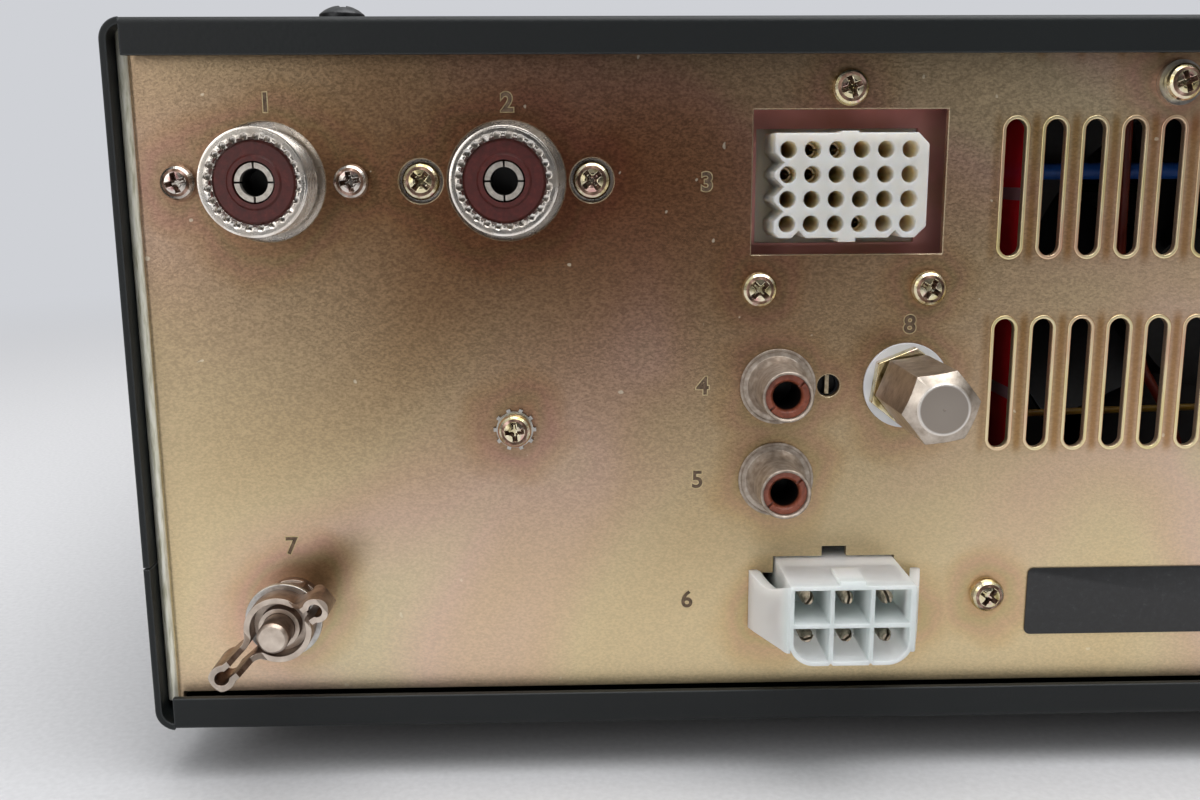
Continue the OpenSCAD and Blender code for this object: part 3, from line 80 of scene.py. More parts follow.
def fill_sockets(tree, node, links):
    """Fills a node's inputs, by name or in order, with values, hex colours, or what comes from a socket or a node."""
    for key, value in links.items() if isinstance(links, dict) else enumerate(links):
        if isinstance(value, bpy.types.Node):
            value = next(output for output in value.outputs if output.enabled)
        if isinstance(value, bpy.types.NodeSocket):
            tree.links.new(value, node.inputs[key])
        else:
            node.inputs[key].default_value = shade(value) if isinstance(value, str) else value


def add_node(tree, kind, links=None, **settings):
    """Adds one shader node with its settings and links. The setting stops holds a ramp's places and hex colours."""
    node = tree.nodes.new("ShaderNode" + kind)
    for index, (position, hex_code) in enumerate(settings.pop("stops", [])):
        if index == len(node.color_ramp.elements):
            node.color_ramp.elements.new(1.0)
        node.color_ramp.elements[index].position = position
        node.color_ramp.elements[index].color = shade(hex_code)
    for key, value in settings.items():
        setattr(node, key, value)
    fill_sockets(tree, node, links or {})
    return node


def start_finish(name):
    """A new material with a Principled surface, and the piece's own coordinates in metres."""
    finish = bpy.data.materials.new(name)
    finish.use_nodes = True
    tree = finish.node_tree
    return finish, tree, tree.nodes["Principled BSDF"], add_node(tree, "TexCoord").outputs["Object"]


smooth = {"interpolation_type": "SMOOTHSTEP"}
# flat paint, even but for a faint grain that shows close by
table_finish, tree, surface, place = start_finish("matt_painted_table")
grain = add_node(tree, "TexNoise", {"Vector": place, "Scale": 900.0, "Detail": 3.0})
fill_sockets(tree, surface, {
    "Base Color": add_node(tree, "ValToRGB", [grain], stops=[(0.3, "#c2c2c4"), (0.7, "#cbcbcd")]),
    "Roughness": 0.7,
    "Normal": add_node(tree, "Bump", {"Height": grain, "Distance": 0.0001, "Strength": 0.2})})
# the table fades into the background where it is far from the object, for the eye only
far = add_node(tree, "VectorMath", [place], operation="LENGTH")
fade = add_node(tree, "MapRange", [far, 0.25, 0.8, 0.0, 1.0], **smooth)
eye = add_node(tree, "LightPath").outputs["Is Camera Ray"]
faded = add_node(tree, "Math", [fade, eye], operation="MULTIPLY")
glow = add_node(tree, "Emission", {"Color": "#cfd1d6", "Strength": 1.0})
fill_sockets(tree, tree.nodes["Material Output"], {"Surface": add_node(tree, "MixShader", [faded, surface, glow])})
bpy.ops.mesh.primitive_plane_add(size=1)
table = bpy.context.object
table.name = "table_top"
table.scale = (3.0, 2.3, 1)
table.location = (0, -0.4, 0)
bpy.ops.object.transform_apply(location=True, scale=True)
table.data.materials.append(table_finish)

world = bpy.data.worlds.new("pale_room")
bpy.context.scene.world = world
world.use_nodes = True
tree = world.node_tree
tree.nodes.clear()
direction = add_node(tree, "TexCoord").outputs["Generated"]
height = add_node(tree, "SeparateXYZ", [direction]).outputs["Z"]
rise = add_node(tree, "MapRange", [height, 0.15, 0.9, 0.0, 0.8], **smooth)
# the walls beside the viewer are paler than the viewer's own dark side of the room
aside = add_node(tree, "VectorMath", [direction, (0.0, 1.0, 0.0)], operation="DOT_PRODUCT")
wall = add_node(tree, "MapRange", [aside, 0.98, 0.55, 0.0, 0.3], **smooth)
level = add_node(tree, "Math", [rise, wall], operation="ADD")
room = add_node(tree, "ValToRGB", [level], stops=[(0.0, "#1c1816"), (0.35, "#86827f"), (1.0, "#eceef0")])
seen = add_node(tree, "Background", {"Color": "#cfd1d6", "Strength": 1.0})
light = add_node(tree, "Background", {"Color": room, "Strength": 0.9})
both = add_node(tree, "MixShader", [add_node(tree, "LightPath").outputs["Is Camera Ray"], light, seen])
add_node(tree, "OutputWorld", {"Surface": both})

for name, place_mm, power, size in [("softbox_overhead", (-120, 240, 900), 10.5, 0.9),
                                    ("softbox_side", (540, 720, 300), 1.7, 0.5)]:
    bpy.ops.object.light_add(type="AREA", location=[v * MM for v in place_mm])
    lamp = bpy.context.object
    lamp.name = name
    lamp.data.energy, lamp.data.size = power, size
    aim = Vector((0, 0.05, 0.06)) - lamp.location
    lamp.rotation_euler = aim.to_track_quat("-Z", "Y").to_euler()


# ---- Chassis and rear panel ----
# Steel sheet, zinc plated and gold chromated: a satin grain with slow patches of tan, rose, olive and brown.
# Cut edges get a painted highlight over bright zinc. Side frames, deck, sub-panel and the connector's bracket have the
# same plating.
def dress(names, finish):
    """Gives CAD nodes a finish."""
    for name in names:
        for slot in frame["nodes"][name].material_slots:
            slot.material = finish


def body_of_node(name):
    return next(body for body, nodes in frame["record"]["behaviour"]["bodies"].items() if name in nodes)


def choose(pieces):
    """Selects these pieces alone and makes the first one active."""
    bpy.ops.object.select_all(action="DESELECT")
    for piece in pieces:
        piece.select_set(True)
    bpy.context.view_layer.objects.active = pieces[0]


def modify(piece, name, kind, **settings):
    """Adds a modifier with its settings and applies it."""
    modifier = piece.modifiers.new(name, kind)
    for key, value in settings.items():
        setattr(modifier, key, value)
    bpy.context.view_layer.objects.active = piece
    bpy.ops.object.modifier_apply(modifier=name)


def finished_copy(name, finish, width, segments=2):
    """A copy of a CAD node's shape with its sharp edges rounded, shown in its place."""
    source = frame["nodes"][name]
    piece = source.copy()
    piece.data = source.data.copy()
    piece.name = name + "_finished"
    bpy.context.collection.objects.link(piece)
    piece.parent = None
    piece.matrix_world = Matrix.Identity(4)
    choose([piece])
    bpy.ops.object.mode_set(mode="EDIT")
    bpy.ops.mesh.select_all(action="SELECT")
    bpy.ops.mesh.remove_doubles(threshold=0.000002)
    bpy.ops.mesh.dissolve_limited(angle_limit=math.radians(0.5))
    bpy.ops.object.mode_set(mode="OBJECT")
    modify(piece, "edge_round", "BEVEL", width=width * MM, segments=segments, limit_method="ANGLE",
           angle_limit=math.radians(40))
    bpy.ops.object.shade_smooth_by_angle(angle=math.radians(35))
    modify(piece, "even_shading", "WEIGHTED_NORMAL", weight=100, keep_sharp=True)
    piece.data.materials.clear()
    piece.data.materials.append(finish)
    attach(piece, body_of_node(name))
    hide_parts(name)
    return piece


def distance_from(tree, place, x, z, wide=1.0, high=1.0, turn=0.0):
    """Distance over the rear panel from a spot, in millimetres, or in shares of an ellipse's half sizes."""
    spot = panel_point(x, z)
    centred = add_node(tree, "Mapping", {"Vector": place, "Location": [spot[0], 0, spot[2]],
                                         "Rotation": [0, math.radians(turn), 0],
                                         "Scale": [wide * MM, 1000.0, high * MM]}, vector_type="TEXTURE")
    return add_node(tree, "VectorMath", [centred], operation="LENGTH")


def plain_finish(name, noise, stops, values, relief=None):
    """A finish whose colour wanders with one noise. Its Scale counts the patches in a metre, and relief is a bump's
    height in metres and strength."""
    finish, tree, surface, place = start_finish(name)
    texture = add_node(tree, "TexNoise", {"Vector": place, **noise})
    fill_sockets(tree, surface, {"Base Color": add_node(tree, "ValToRGB", [texture], stops=stops), **values})
    if relief:
        bump = add_node(tree, "Bump", {"Height": texture, "Distance": relief[0], "Strength": relief[1]})
        fill_sockets(tree, surface, {"Normal": bump})
    return finish


SLOT_X, SLOT_PITCH, SLOT_COUNT, SLOT_WIDTH, SLOT_HEIGHT = 135.9, 6.1, 15, 3.2, 20.7
SLOT_ROWS, ROW_PITCH = (85.8, 55.3), 30.5
# the dip leaves a thin iridescent film, so the sheet is a metal whose colour drifts from place to place
chromate_finish, tree, surface, place = start_finish("gold_chromate_on_zinc")
patches = add_node(tree, "TexNoise", {"Vector": place, "Scale": 15.0, "Detail": 2.0, "Roughness": 0.5,
                                      "Distortion": 0.4})
hue = add_node(tree, "ValToRGB", [patches], stops=[
    (0.32, "#dcc69a"), (0.44, "#dcc8a0"), (0.52, "#dabf9f"), (0.58, "#dcc0a8"), (0.64, "#d9c8a5"), (0.75, "#dccaa1")])
# browner towards the panel's upper middle: partly the film's own brown, partly a painted dark reflection of the viewer
reflection_and_film_distance = add_node(tree, "Math", [patches, 0.3, distance_from(tree, place, 73, 88, 165, 100)],
                    operation="MULTIPLY_ADD")
brown = add_node(tree, "MapRange", [reflection_and_film_distance, 0.12, 1.0, 1.0, 0.0], **smooth)
# rings of brown, olive and rose where the bath dried round each hole and fitting, given by place and radius
nearest = None
for x, z, reach in [(22, 87.4, 10.5), (58.3, 87.4, 10.5), (9.05, 87.4, 3), (34.95, 87.4, 3), (45.35, 87.4, 3.6),
                    (71.25, 87.4, 3.6), (110.2, 100.9, 3), (97, 70.6, 3), (123.4, 70.6, 3), (58.85, 48.8, 3.6),
                    (135.5, 20.3, 3), (160.1, 101.4, 3.8), (100.35, 55.3, 6.2), (100.35, 40.2, 6.2), (108.4, 55.3, 2),
                    (120.6, 55.3, 7), (22.7, 20.3, 6.5), (121, 18, 4), (100, 18, 4)]:
    gap = add_node(tree, "Math", [distance_from(tree, place, x, z), reach], operation="SUBTRACT")
    nearest = gap if nearest is None else add_node(tree, "Math", [nearest, gap], operation="MINIMUM")
drift = add_node(tree, "TexNoise", {"Vector": place, "Scale": 90.0, "Detail": 2.0})
wander = add_node(tree, "Math", [drift, 9.0, nearest], operation="MULTIPLY_ADD")
ring = add_node(tree, "ValToRGB", [add_node(tree, "MapRange", [wander, 3.6, 13.0])], stops=[
    (0.0, "#c78f63"), (0.12, "#b9b07c"), (0.3, "#dcaeae"), (0.5, "#ecdcc6"), (0.75, "#ffffff"), (1.0, "#ffffff")])
# a painted dark patch up and to the right of the ground terminal, standing for the wing nut's shadow and reflection on
# the panel
wing_nut_shade_spot = distance_from(tree, place, 27.5, 25.5, 10.0, 5.5, 40.0)
painted_wing_nut_shade = add_node(tree, "MapRange", [wing_nut_shade_spot, 1.15, 0.1, 0.0, 0.8], **smooth)
# darker brown film in the middle of the bars between the slots
spot = add_node(tree, "SeparateXYZ", [place])
across = add_node(tree, "Math", [panel_point(SLOT_X, 0)[0], spot.outputs["X"]], operation="SUBTRACT")
bar = add_node(tree, "Math", [across, SLOT_PITCH / 2 * MM], operation="PINGPONG")
below = add_node(tree, "Math", [spot.outputs["Z"], panel_point(0, SLOT_ROWS[0])[2]], operation="SUBTRACT")
row = add_node(tree, "Math", [below, ROW_PITCH / 2 * MM], operation="PINGPONG")
film = add_node(tree, "MapRange", [row, 12.5 * MM, 9.5 * MM], **smooth)
for limits in [[across, -4.5 * MM, -1.5 * MM], [spot.outputs["Z"], panel_point(0, 42.5)[2], panel_point(0, 45)[2]],
               [bar, 2.0 * MM, 2.9 * MM, 0.15, 0.8]]:
    film = add_node(tree, "Math", [film, add_node(tree, "MapRange", limits, **smooth)], operation="MULTIPLY")
# grain of the plated sheet, about 0.25 mm, glinting a little and strongest where the upper middle is browner
stretch = add_node(tree, "Mapping", {"Vector": place, "Rotation": [0, 0.6, 0], "Scale": [2000.0, 2000.0, 3300.0]})
grain = add_node(tree, "TexNoise", {"Vector": stretch, "Scale": 1.0, "Detail": 2.0, "Roughness": 0.6})
speck = add_node(tree, "MapRange", [grain, 0.36, 0.66, 0.6, 1.35])
speckled = add_node(tree, "MapRange", [brown, 0.0, 0.9, 0.22, 0.62], **smooth)
# a few nicks, and a pale line on every edge, partly bright zinc and partly a painted highlight
nick = add_node(tree, "TexNoise", {"Vector": place, "Scale": 700.0, "Detail": 0.0})
nicked = add_node(tree, "MapRange", [nick, 0.89, 0.91, 0.0, 0.4], **smooth)
rounded = add_node(tree, "Bevel", {"Radius": 0.0003}, samples=4)
flat = add_node(tree, "NewGeometry").outputs["Normal"]
likeness = add_node(tree, "VectorMath", [rounded, flat], operation="DOT_PRODUCT")
edge = add_node(tree, "MapRange", [likeness, 0.99, 0.9, 0.0, 0.75], **smooth)
# each layer over the last: where it lies, its colour, and whether it stains or covers
for where, colour, way in [(brown, "#7b594a", "MULTIPLY"), (0.42, ring, "MULTIPLY"), (painted_wing_nut_shade, "#8f7d5c", "MULTIPLY"),
                           (film, "#c7a873", "MULTIPLY"), (speckled, speck, "MULTIPLY"), (nicked, "#f3ead2", "MIX"),
                           (edge, "#efe2c0", "MIX")]:
    hue = add_node(tree, "Mix", {"Factor": where, "A": hue, "B": colour}, data_type="RGBA", blend_type=way)
fill_sockets(tree, surface, {
    "Base Color": hue, "Metallic": 0.8, "Roughness": add_node(tree, "MapRange", [grain, 0.3, 0.7, 0.34, 0.44]),
    "Normal": add_node(tree, "Bump", {"Height": grain, "Distance": 0.00006, "Strength": 0.6, "Normal": rounded})})
finished_copy("rear_panel", chromate_finish, 0.18)
dress(["side_frames", "chassis_deck", "front_subpanel"], chromate_finish)

# the small bracket is painted a bright pale rose that stands in for light and reflections in the shade of the
# connector's opening
bracket_painted_light_finish = plain_finish("bracket_rose_painted_light", {"Scale": 70.0, "Detail": 3.0},
                              [(0.3, "#b87f74"), (0.55, "#d79a94"), (0.75, "#b59470")],
                              {"Metallic": 0.7, "Roughness": 0.35})
dress(["accessory_bracket"], bracket_painted_light_finish)


# ---- Lips of the cooling slots ----
# The punch leaves each slot with a thin drawn lip that catches the light.
# One lip is made from two slot outlines bridged into a ring, then copied to both rows.
def duplicate(piece):
    choose([piece])
    bpy.ops.object.duplicate()
    return bpy.context.object


def join(pieces, name):
    """Joins pieces into one, with its place in its mesh."""
    choose(pieces)
    bpy.ops.object.join()
    whole = bpy.context.object
    whole.name = name
    bpy.ops.object.transform_apply(location=True, rotation=True, scale=True)
    return whole


bpy.ops.object.select_all(action="DESELECT")
bpy.ops.mesh.primitive_circle_add(vertices=32, radius=SLOT_WIDTH / 2 * MM, rotation=(math.pi / 2, 0, 0))
lip = bpy.context.object
bpy.ops.object.transform_apply(rotation=True)
bpy.ops.object.mode_set(mode="EDIT")
bpy.ops.mesh.select_all(action="SELECT")
bpy.ops.mesh.extrude_edges_move()
bpy.ops.transform.resize(value=(1.34, 1, 1.34))
bpy.ops.mesh.select_all(action="SELECT")
bpy.ops.mesh.extrude_region_move(TRANSFORM_OT_translate={"value": (0, 0.22 * MM, 0)})
bpy.ops.mesh.select_all(action="SELECT")
bpy.ops.mesh.normals_make_consistent(inside=False)
bpy.ops.object.mode_set(mode="OBJECT")
# the ring's upper and lower halves move apart to the slot's full height
for vertex in lip.data.vertices:
    vertex.co.z += math.copysign((SLOT_HEIGHT - SLOT_WIDTH) / 2 * MM, vertex.co.z + 1e-9)
modify(lip, "lip_round", "BEVEL", width=0.15 * MM, segments=3, limit_method="ANGLE")
bpy.ops.object.shade_smooth_by_angle(angle=math.radians(50))
# thin film on a stretched edge, pale gold, with a painted pink reflection on the flanks that face right
lip_finish, tree, surface, place = start_finish("bright_chromated_lip")
film = add_node(tree, "TexNoise", {"Vector": place, "Scale": 60.0})
tone = add_node(tree, "ValToRGB", [film], stops=[(0.35, "#e6d69a"), (0.5, "#efdfb4"), (0.65, "#e2bd9f")])
flank = add_node(tree, "SeparateXYZ", [add_node(tree, "NewGeometry").outputs["Normal"]]).outputs["X"]
painted_flank_reflection = add_node(tree, "MapRange", [flank, 0.0, -0.5], **smooth)
tone = add_node(tree, "Mix", {"Factor": painted_flank_reflection, "A": tone, "B": "#d9a088"}, data_type="RGBA", blend_type="MULTIPLY")
fill_sockets(tree, surface, {"Base Color": tone, "Metallic": 0.75, "Roughness": 0.3})
lip.data.materials.append(lip_finish)
lips = []
for row_z in SLOT_ROWS:
    for column in range(SLOT_COUNT):
        lips.append(duplicate(lip))
        lips[-1].location = panel_point(SLOT_X + column * SLOT_PITCH, row_z, -0.02)
bpy.data.objects.remove(lip)
slot_lips = join(lips, "slot_lips")
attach(slot_lips, "case")

# ---- Bends at the panel's sides ----
# The sheet turns through a tight radius at both sides, painted near white along its length as a highlight.
# Each bend is a half-round bar of bright metal that reaches the cover's inner face.
BEND_X, BEND_RADIUS, BEND_DEPTH = 118.55, 0.9, 0.62
# streaks 0.4 mm wide and 4 mm long in a near-white tone, a painted highlight along each bend
bend_highlight_finish, tree, surface, place = start_finish("bend_painted_highlight")
streak_stretch = add_node(tree, "Mapping", {"Vector": place, "Scale": [2400.0, 2400.0, 260.0]})
bend_streaks = add_node(tree, "TexNoise", {"Vector": streak_stretch, "Scale": 1.0, "Detail": 3.0})
tone = add_node(tree, "ValToRGB", [bend_streaks], stops=[(0.3, "#b7b49c"), (0.5, "#e4e2d0"), (0.7, "#f4f2e6")])
fill_sockets(tree, surface, {"Base Color": tone, "Metallic": 0.5, "Roughness": 0.4})
bends = []
low_z, high_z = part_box("rear_panel")[0][2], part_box("rear_panel")[1][2]
for side in (-1, 1):
    bpy.ops.object.select_all(action="DESELECT")
    bpy.ops.mesh.primitive_cylinder_add(
        vertices=24, radius=BEND_RADIUS * MM, depth=high_z - low_z - 0.4 * MM,
        location=(side * BEND_X * MM, (PANEL_Y - BEND_DEPTH) * MM, (low_z + high_z) / 2))
    bar = bpy.context.object
    bpy.ops.object.transform_apply(location=True)
    bpy.ops.object.mode_set(mode="EDIT")
    bpy.ops.mesh.select_all(action="SELECT")
    bpy.ops.mesh.bisect(plane_co=(0, (PANEL_Y - 0.65) * MM, 0), plane_no=(0, 1, 0), clear_inner=True, use_fill=True)
    bpy.ops.object.mode_set(mode="OBJECT")
    bpy.ops.object.shade_smooth_by_angle(angle=math.radians(40))
    bar.data.materials.append(bend_highlight_finish)
    bends.append(bar)
panel_bends = join(bends, "panel_bends")
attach(panel_bends, "case")


# ---- Struck numbers ----
# Each terminal is marked with a plain number struck into the sheet, drawn as a groove of painted shade in a lip of
# painted highlight.
# They are thin solids standing a few hundredths of a millimetre proud of the panel.
def solid_figure(figure, size, thick, swell):
    """A plain number as a thin flat solid, its outline moved outwards by swell."""
    bpy.ops.object.text_add()
    text = bpy.context.object
    text.data.body, text.data.size = figure, size * MM
    text.data.align_x, text.data.align_y = "CENTER", "CENTER"
    text.data.extrude, text.data.offset = thick * MM, swell * MM
    text.data.resolution_u = 6
    bpy.ops.object.convert(target="MESH")
    return text


# the groove is painted dark as its shade, and the raised lip round it is painted bright as its highlight
groove_painted_shade = plain_finish("struck_groove_painted_shade", {"Scale": 1400.0}, [(0.3, "#4c3d30"), (0.7, "#786450")],
                             {"Metallic": 0.5, "Roughness": 0.55})
lip_painted_highlight = plain_finish("struck_lip_painted_highlight", {"Scale": 900.0}, [(0.3, "#b59f78"), (0.7, "#dbc89d")],
                           {"Metallic": 0.8, "Roughness": 0.35})
marks = []
for figure, x, z in [("1", 22.6, 98.9), ("2", 58.6, 98.8), ("3", 88.8, 86.9), ("4", 88.5, 55.3), ("5", 87.8, 40.1),
                     ("6", 86.3, 19.9), ("7", 22.7, 29.9), ("8", 120.9, 64.8)]:
    for finish, swell, height in [(lip_painted_highlight, 0.24, 0.015), (groove_painted_shade, 0.09, 0.03)]:
        mark = solid_figure(figure, 3.9, height, swell)
        mark.matrix_world = (Matrix.Translation(panel_point(x, z, 0.02)) @ Matrix.Rotation(math.pi, 4, "Z")
                             @ Matrix.Rotation(math.pi / 2, 4, "X"))
        mark.data.materials.append(finish)
        marks.append(mark)
struck_numbers = join(marks, "struck_numbers")
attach(struck_numbers, "case")

# ---- Coaxial sockets ----
# Turned brass shells with satin nickel plating, a notched mouth, a red-brown phenolic insulator and a split contact.
# The outside thread has 24 turns to the inch, a pitch of 1.06 mm.
# warm grey metal, duller where it is stained, with the thread's ridges drawn by the bump
nickel_finish, tree, surface, place = start_finish("satin_nickel_turned")
thread = add_node(tree, "TexWave", {"Vector": place, "Scale": 297.0, "Distortion": 0.0}, bands_direction="Y",
                  wave_profile="TRI")
stain = add_node(tree, "TexNoise", {"Vector": place, "Scale": 320.0, "Detail": 4.0})
rounded = add_node(tree, "Bevel", {"Radius": 0.00018}, samples=4)
fill_sockets(tree, surface, {
    "Base Color": add_node(tree, "ValToRGB", [stain], stops=[(0.3, "#c9beb1"), (0.5, "#e9e1d7"), (0.7, "#f4efe8")]),
    "Metallic": 1.0, "Roughness": add_node(tree, "MapRange", [stain, 0.3, 0.7, 0.32, 0.2]),
    "Normal": add_node(tree, "Bump", {"Height": thread.outputs["Fac"], "Distance": 0.0005, "Strength": 0.9,
                                      "Normal": rounded})})
for name in ["input_socket_shell", "ant_socket_shell"]:
    finished_copy(name, nickel_finish, 0.12)

# the contacts are silver plated, and painted near black inside their bores as shade
silver_finish, tree, surface, place = start_finish("silver_plated_contact")
depth = add_node(tree, "SeparateXYZ", [place]).outputs["Y"]
dull = add_node(tree, "TexNoise", {"Vector": place, "Scale": 1200.0, "Detail": 2.0})
tone = add_node(tree, "ValToRGB", [dull], stops=[(0.3, "#b7afa5"), (0.7, "#dcd5cb")])
inside = add_node(tree, "MapRange", [depth, (PANEL_Y + 6.5) * MM, (PANEL_Y + 5.2) * MM], **smooth)
fill_sockets(tree, surface, {
    "Base Color": add_node(tree, "Mix", {"Factor": inside, "A": tone, "B": "#050404"}, data_type="RGBA"),
    "Metallic": add_node(tree, "MapRange", [inside, 0.0, 1.0, 1.0, 0.0], **smooth), "Roughness": 0.42})
for name in ["input_socket_contact", "ant_socket_contact"]:
    finished_copy(name, silver_finish, 0.06)

# pressed resin and wood flour: flecks under a millimetre and a dull shine
phenolic_finish = plain_finish("red_brown_phenolic", {"Scale": 1400.0, "Detail": 4.0, "Roughness": 0.7},
                               [(0.3, "#3a120e"), (0.55, "#4b1814"), (0.75, "#5c241e")], {"Roughness": 0.42},
                               relief=(0.00003, 0.3))
dress(["input_socket_insulator", "ant_socket_insulator"], phenolic_finish)

# ---- Screws of the panel ----
# Cross-recessed M3 pan heads, cold headed in steel. Eight are gold chromated, and the two beside the left socket are
# plain zinc gone grey. One head is modelled with its recess and shank and copied to each place.
HEAD_RADIUS, SHANK_LENGTH = 2.75, 5.5
bpy.ops.object.select_all(action="DESELECT")
bpy.ops.mesh.primitive_cylinder_add(vertices=40, radius=HEAD_RADIUS * MM, depth=0.9 * MM, location=(0, 0, 0.45 * MM))
head = bpy.context.object
bpy.ops.object.transform_apply(location=True)
bpy.ops.object.mode_set(mode="EDIT")
bpy.ops.mesh.select_mode(type="FACE")
# the crown rises in five steps, and the shank starts from a ring under the head
for facing, steps in [(1, [(0.25, 0.42), (0.35, 0.29), (0.45, 0.22), (0.6, 0.14), (0.6, 0.03)]), (-1, [(1.25, 0.0)])]:
    mesh = bmesh.from_edit_mesh(head.data)
    for face in mesh.faces:
        face.select = face.normal.z * facing > 0.99
    bmesh.update_edit_mesh(head.data)
    for inset, rise in steps:
        bpy.ops.mesh.inset(thickness=inset * MM, depth=0)
        bpy.ops.transform.translate(value=(0, 0, rise * MM))
bpy.ops.mesh.extrude_region_move(TRANSFORM_OT_translate={"value": (0, 0, -SHANK_LENGTH * MM)})
bpy.ops.mesh.select_all(action="SELECT")
bpy.ops.mesh.normals_make_consistent(inside=False)
bpy.ops.object.mode_set(mode="OBJECT")
# two tapered arms and a square middle cut the recess
for turn, long, wide in [(0, 2.0, 0.47), (90, 2.0, 0.47), (45, 0.88, 0.88)]:
    bpy.ops.mesh.primitive_cube_add(size=2, location=(0, 0, 1.7 * MM))
    arm = bpy.context.object
    arm.scale = (long * MM, wide * MM, 0.95 * MM)
    arm.rotation_euler.z = math.radians(turn)
    bpy.ops.object.transform_apply(location=True, rotation=True, scale=True)
    for vertex in arm.data.vertices:
        if vertex.co.z < 1.0 * MM:
            vertex.co.x *= 0.5
            vertex.co.y *= 0.5
    modify(head, "cross_recess", "BOOLEAN", operation="DIFFERENCE", solver="EXACT", object=arm)
    bpy.data.objects.remove(arm)
modify(head, "rolled_edges", "BEVEL", width=0.1 * MM, segments=2, limit_method="ANGLE", angle_limit=math.radians(50))
# both platings are mirror-like on the rolled crown, with clouds of film about 2 mm across
screw_finishes = [plain_finish(name, {"Scale": 480.0, "Detail": 2.0}, list(zip((0.3, 0.42, 0.58, 0.7), colours)),
                               {"Metallic": 1.0, "Roughness": 0.22})
                  for name, colours in [("gold_chromated_screw", ["#8f7f52", "#d9cb9e", "#e6dcc0", "#cfa39a"]),
                                        ("greyed_zinc_screw", ["#877c72", "#bdb4aa", "#d3cbc2", "#b78f8a"])]]
# the recess is painted dark as its shade
recess_shade_finish = plain_finish("screw_recess_painted_shade", {"Scale": 700.0, "Detail": 2.0},
                             [(0.3, "#33261e"), (0.55, "#7a5f4f"), (0.72, "#c7a79a")],
                             {"Metallic": 0.8, "Roughness": 0.35})
head.data.materials.append(screw_finishes[0])
head.data.materials.append(recess_shade_finish)
for face in head.data.polygons:
    near_axis = math.hypot(face.center.x, face.center.y) < 2.1 * MM
    if near_axis and 0.5 * MM < face.center.z < 1.86 * MM and face.normal.z < 0.93:
        face.material_index = 1
heads = []
for x, z, out, turn, size, finish in [
        (9.05, 87.36, 0.05, 15, 0.96, 1), (34.95, 87.36, 0.05, 10, 0.96, 1), (45.35, 87.36, -1.0, -40, 1.03, 0),
        (71.25, 87.36, -1.0, 40, 1.03, 0), (110.15, 100.9, 0.05, 20, 1, 0), (97, 70.6, 0.05, 45, 1, 0),
        (123.4, 70.6, 0.05, 60, 1, 0), (58.85, 48.84, 0.7, 5, 0.96, 0), (135.5, 20.31, 0.05, 55, 1, 0),
        (160.1, 101.4, 1.1, 20, 1, 0)]:
    copy = duplicate(head)
    copy.data.materials[0] = screw_finishes[finish]
    copy.matrix_world = (Matrix.Translation(panel_point(x, z, out)) @ Matrix.Rotation(math.radians(turn), 4, "Y")
                         @ Matrix.Rotation(-math.pi / 2, 4, "X") @ Matrix.Diagonal((size, size, 1, 1)))
    heads.append(copy)
bpy.data.objects.remove(head)
panel_heads = join(heads, "panel_screws_finished")
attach(panel_heads, "case")
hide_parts("socket_screws", "panel_screws")

# bright zinc on rolled steel, scuffed in spots of a millimetre
zinc_finish = plain_finish("bright_zinc_steel", {"Scale": 700.0, "Detail": 5.0, "Roughness": 0.65},
                           [(0.3, "#9d9a95"), (0.5, "#bebbb6"), (0.7, "#d0ceca")],
                           {"Metallic": 1.0, "Roughness": 0.34}, relief=(0.00002, 0.3))
dress(["lock_washer", "front_switches", "band_shaft", "level_pot"], zinc_finish)

# ---- Accessory connector ----
# A 24-way housing moulded in natural nylon, milky and slightly see-through, with a few stamped contacts inside.
# Its notched flank and V grooves are moulded in.
# light goes some millimetres into the nylon, so its walls glow softly; its cavities have a painted glow, warm in one
# housing, bluish in the other
nylon_finishes = {}
for name, node, thin, thick, cavity_glow, radius in [
        ("natural_nylon_ivory", "accessory_housing", "#cbc6be", "#d8d4cc", "#f0dcbc", (0.0090, 0.0072, 0.0052)),
        ("natural_nylon_bluish", "power_housing", "#cbdad9", "#d7e5e4", "#eefaf8", (0.0080, 0.0086, 0.0084))]:
    nylon_finishes[node], tree, surface, place = start_finish(name)
    cloud = add_node(tree, "TexNoise", {"Vector": place, "Scale": 160.0, "Detail": 3.0})
    tone = add_node(tree, "ValToRGB", [cloud], stops=[(0.3, thin), (0.7, thick)])
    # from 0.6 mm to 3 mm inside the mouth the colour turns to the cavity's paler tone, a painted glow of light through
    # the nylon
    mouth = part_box(node)[1][1]
    depth = add_node(tree, "SeparateXYZ", [place]).outputs["Y"]
    inside = add_node(tree, "MapRange", [depth, mouth - 0.6 * MM, mouth - 3 * MM], **smooth)
    rounded = add_node(tree, "Bevel", {"Radius": 0.0003}, samples=4)
    fill_sockets(tree, surface, {
        "Base Color": add_node(tree, "Mix", {"Factor": inside, "A": tone, "B": cavity_glow}, data_type="RGBA"),
        "Roughness": 0.4, "Subsurface Weight": 1.0, "Subsurface Radius": radius, "Subsurface Scale": 1.0,
        "Normal": add_node(tree, "Bump", {"Height": cloud, "Distance": 0.00005, "Strength": 0.2,
                                          "Normal": rounded})})
finished_copy("accessory_housing", nylon_finishes["accessory_housing"], 0.1)

# tinned brass strip, dull and a little brown
contact_finish = plain_finish("stamped_tin_contact", {"Scale": 1500.0, "Detail": 2.0},
                              [(0.35, "#8f8271"), (0.65, "#cabba4")], {"Metallic": 0.9, "Roughness": 0.35})
dress(["accessory_contacts"], contact_finish)

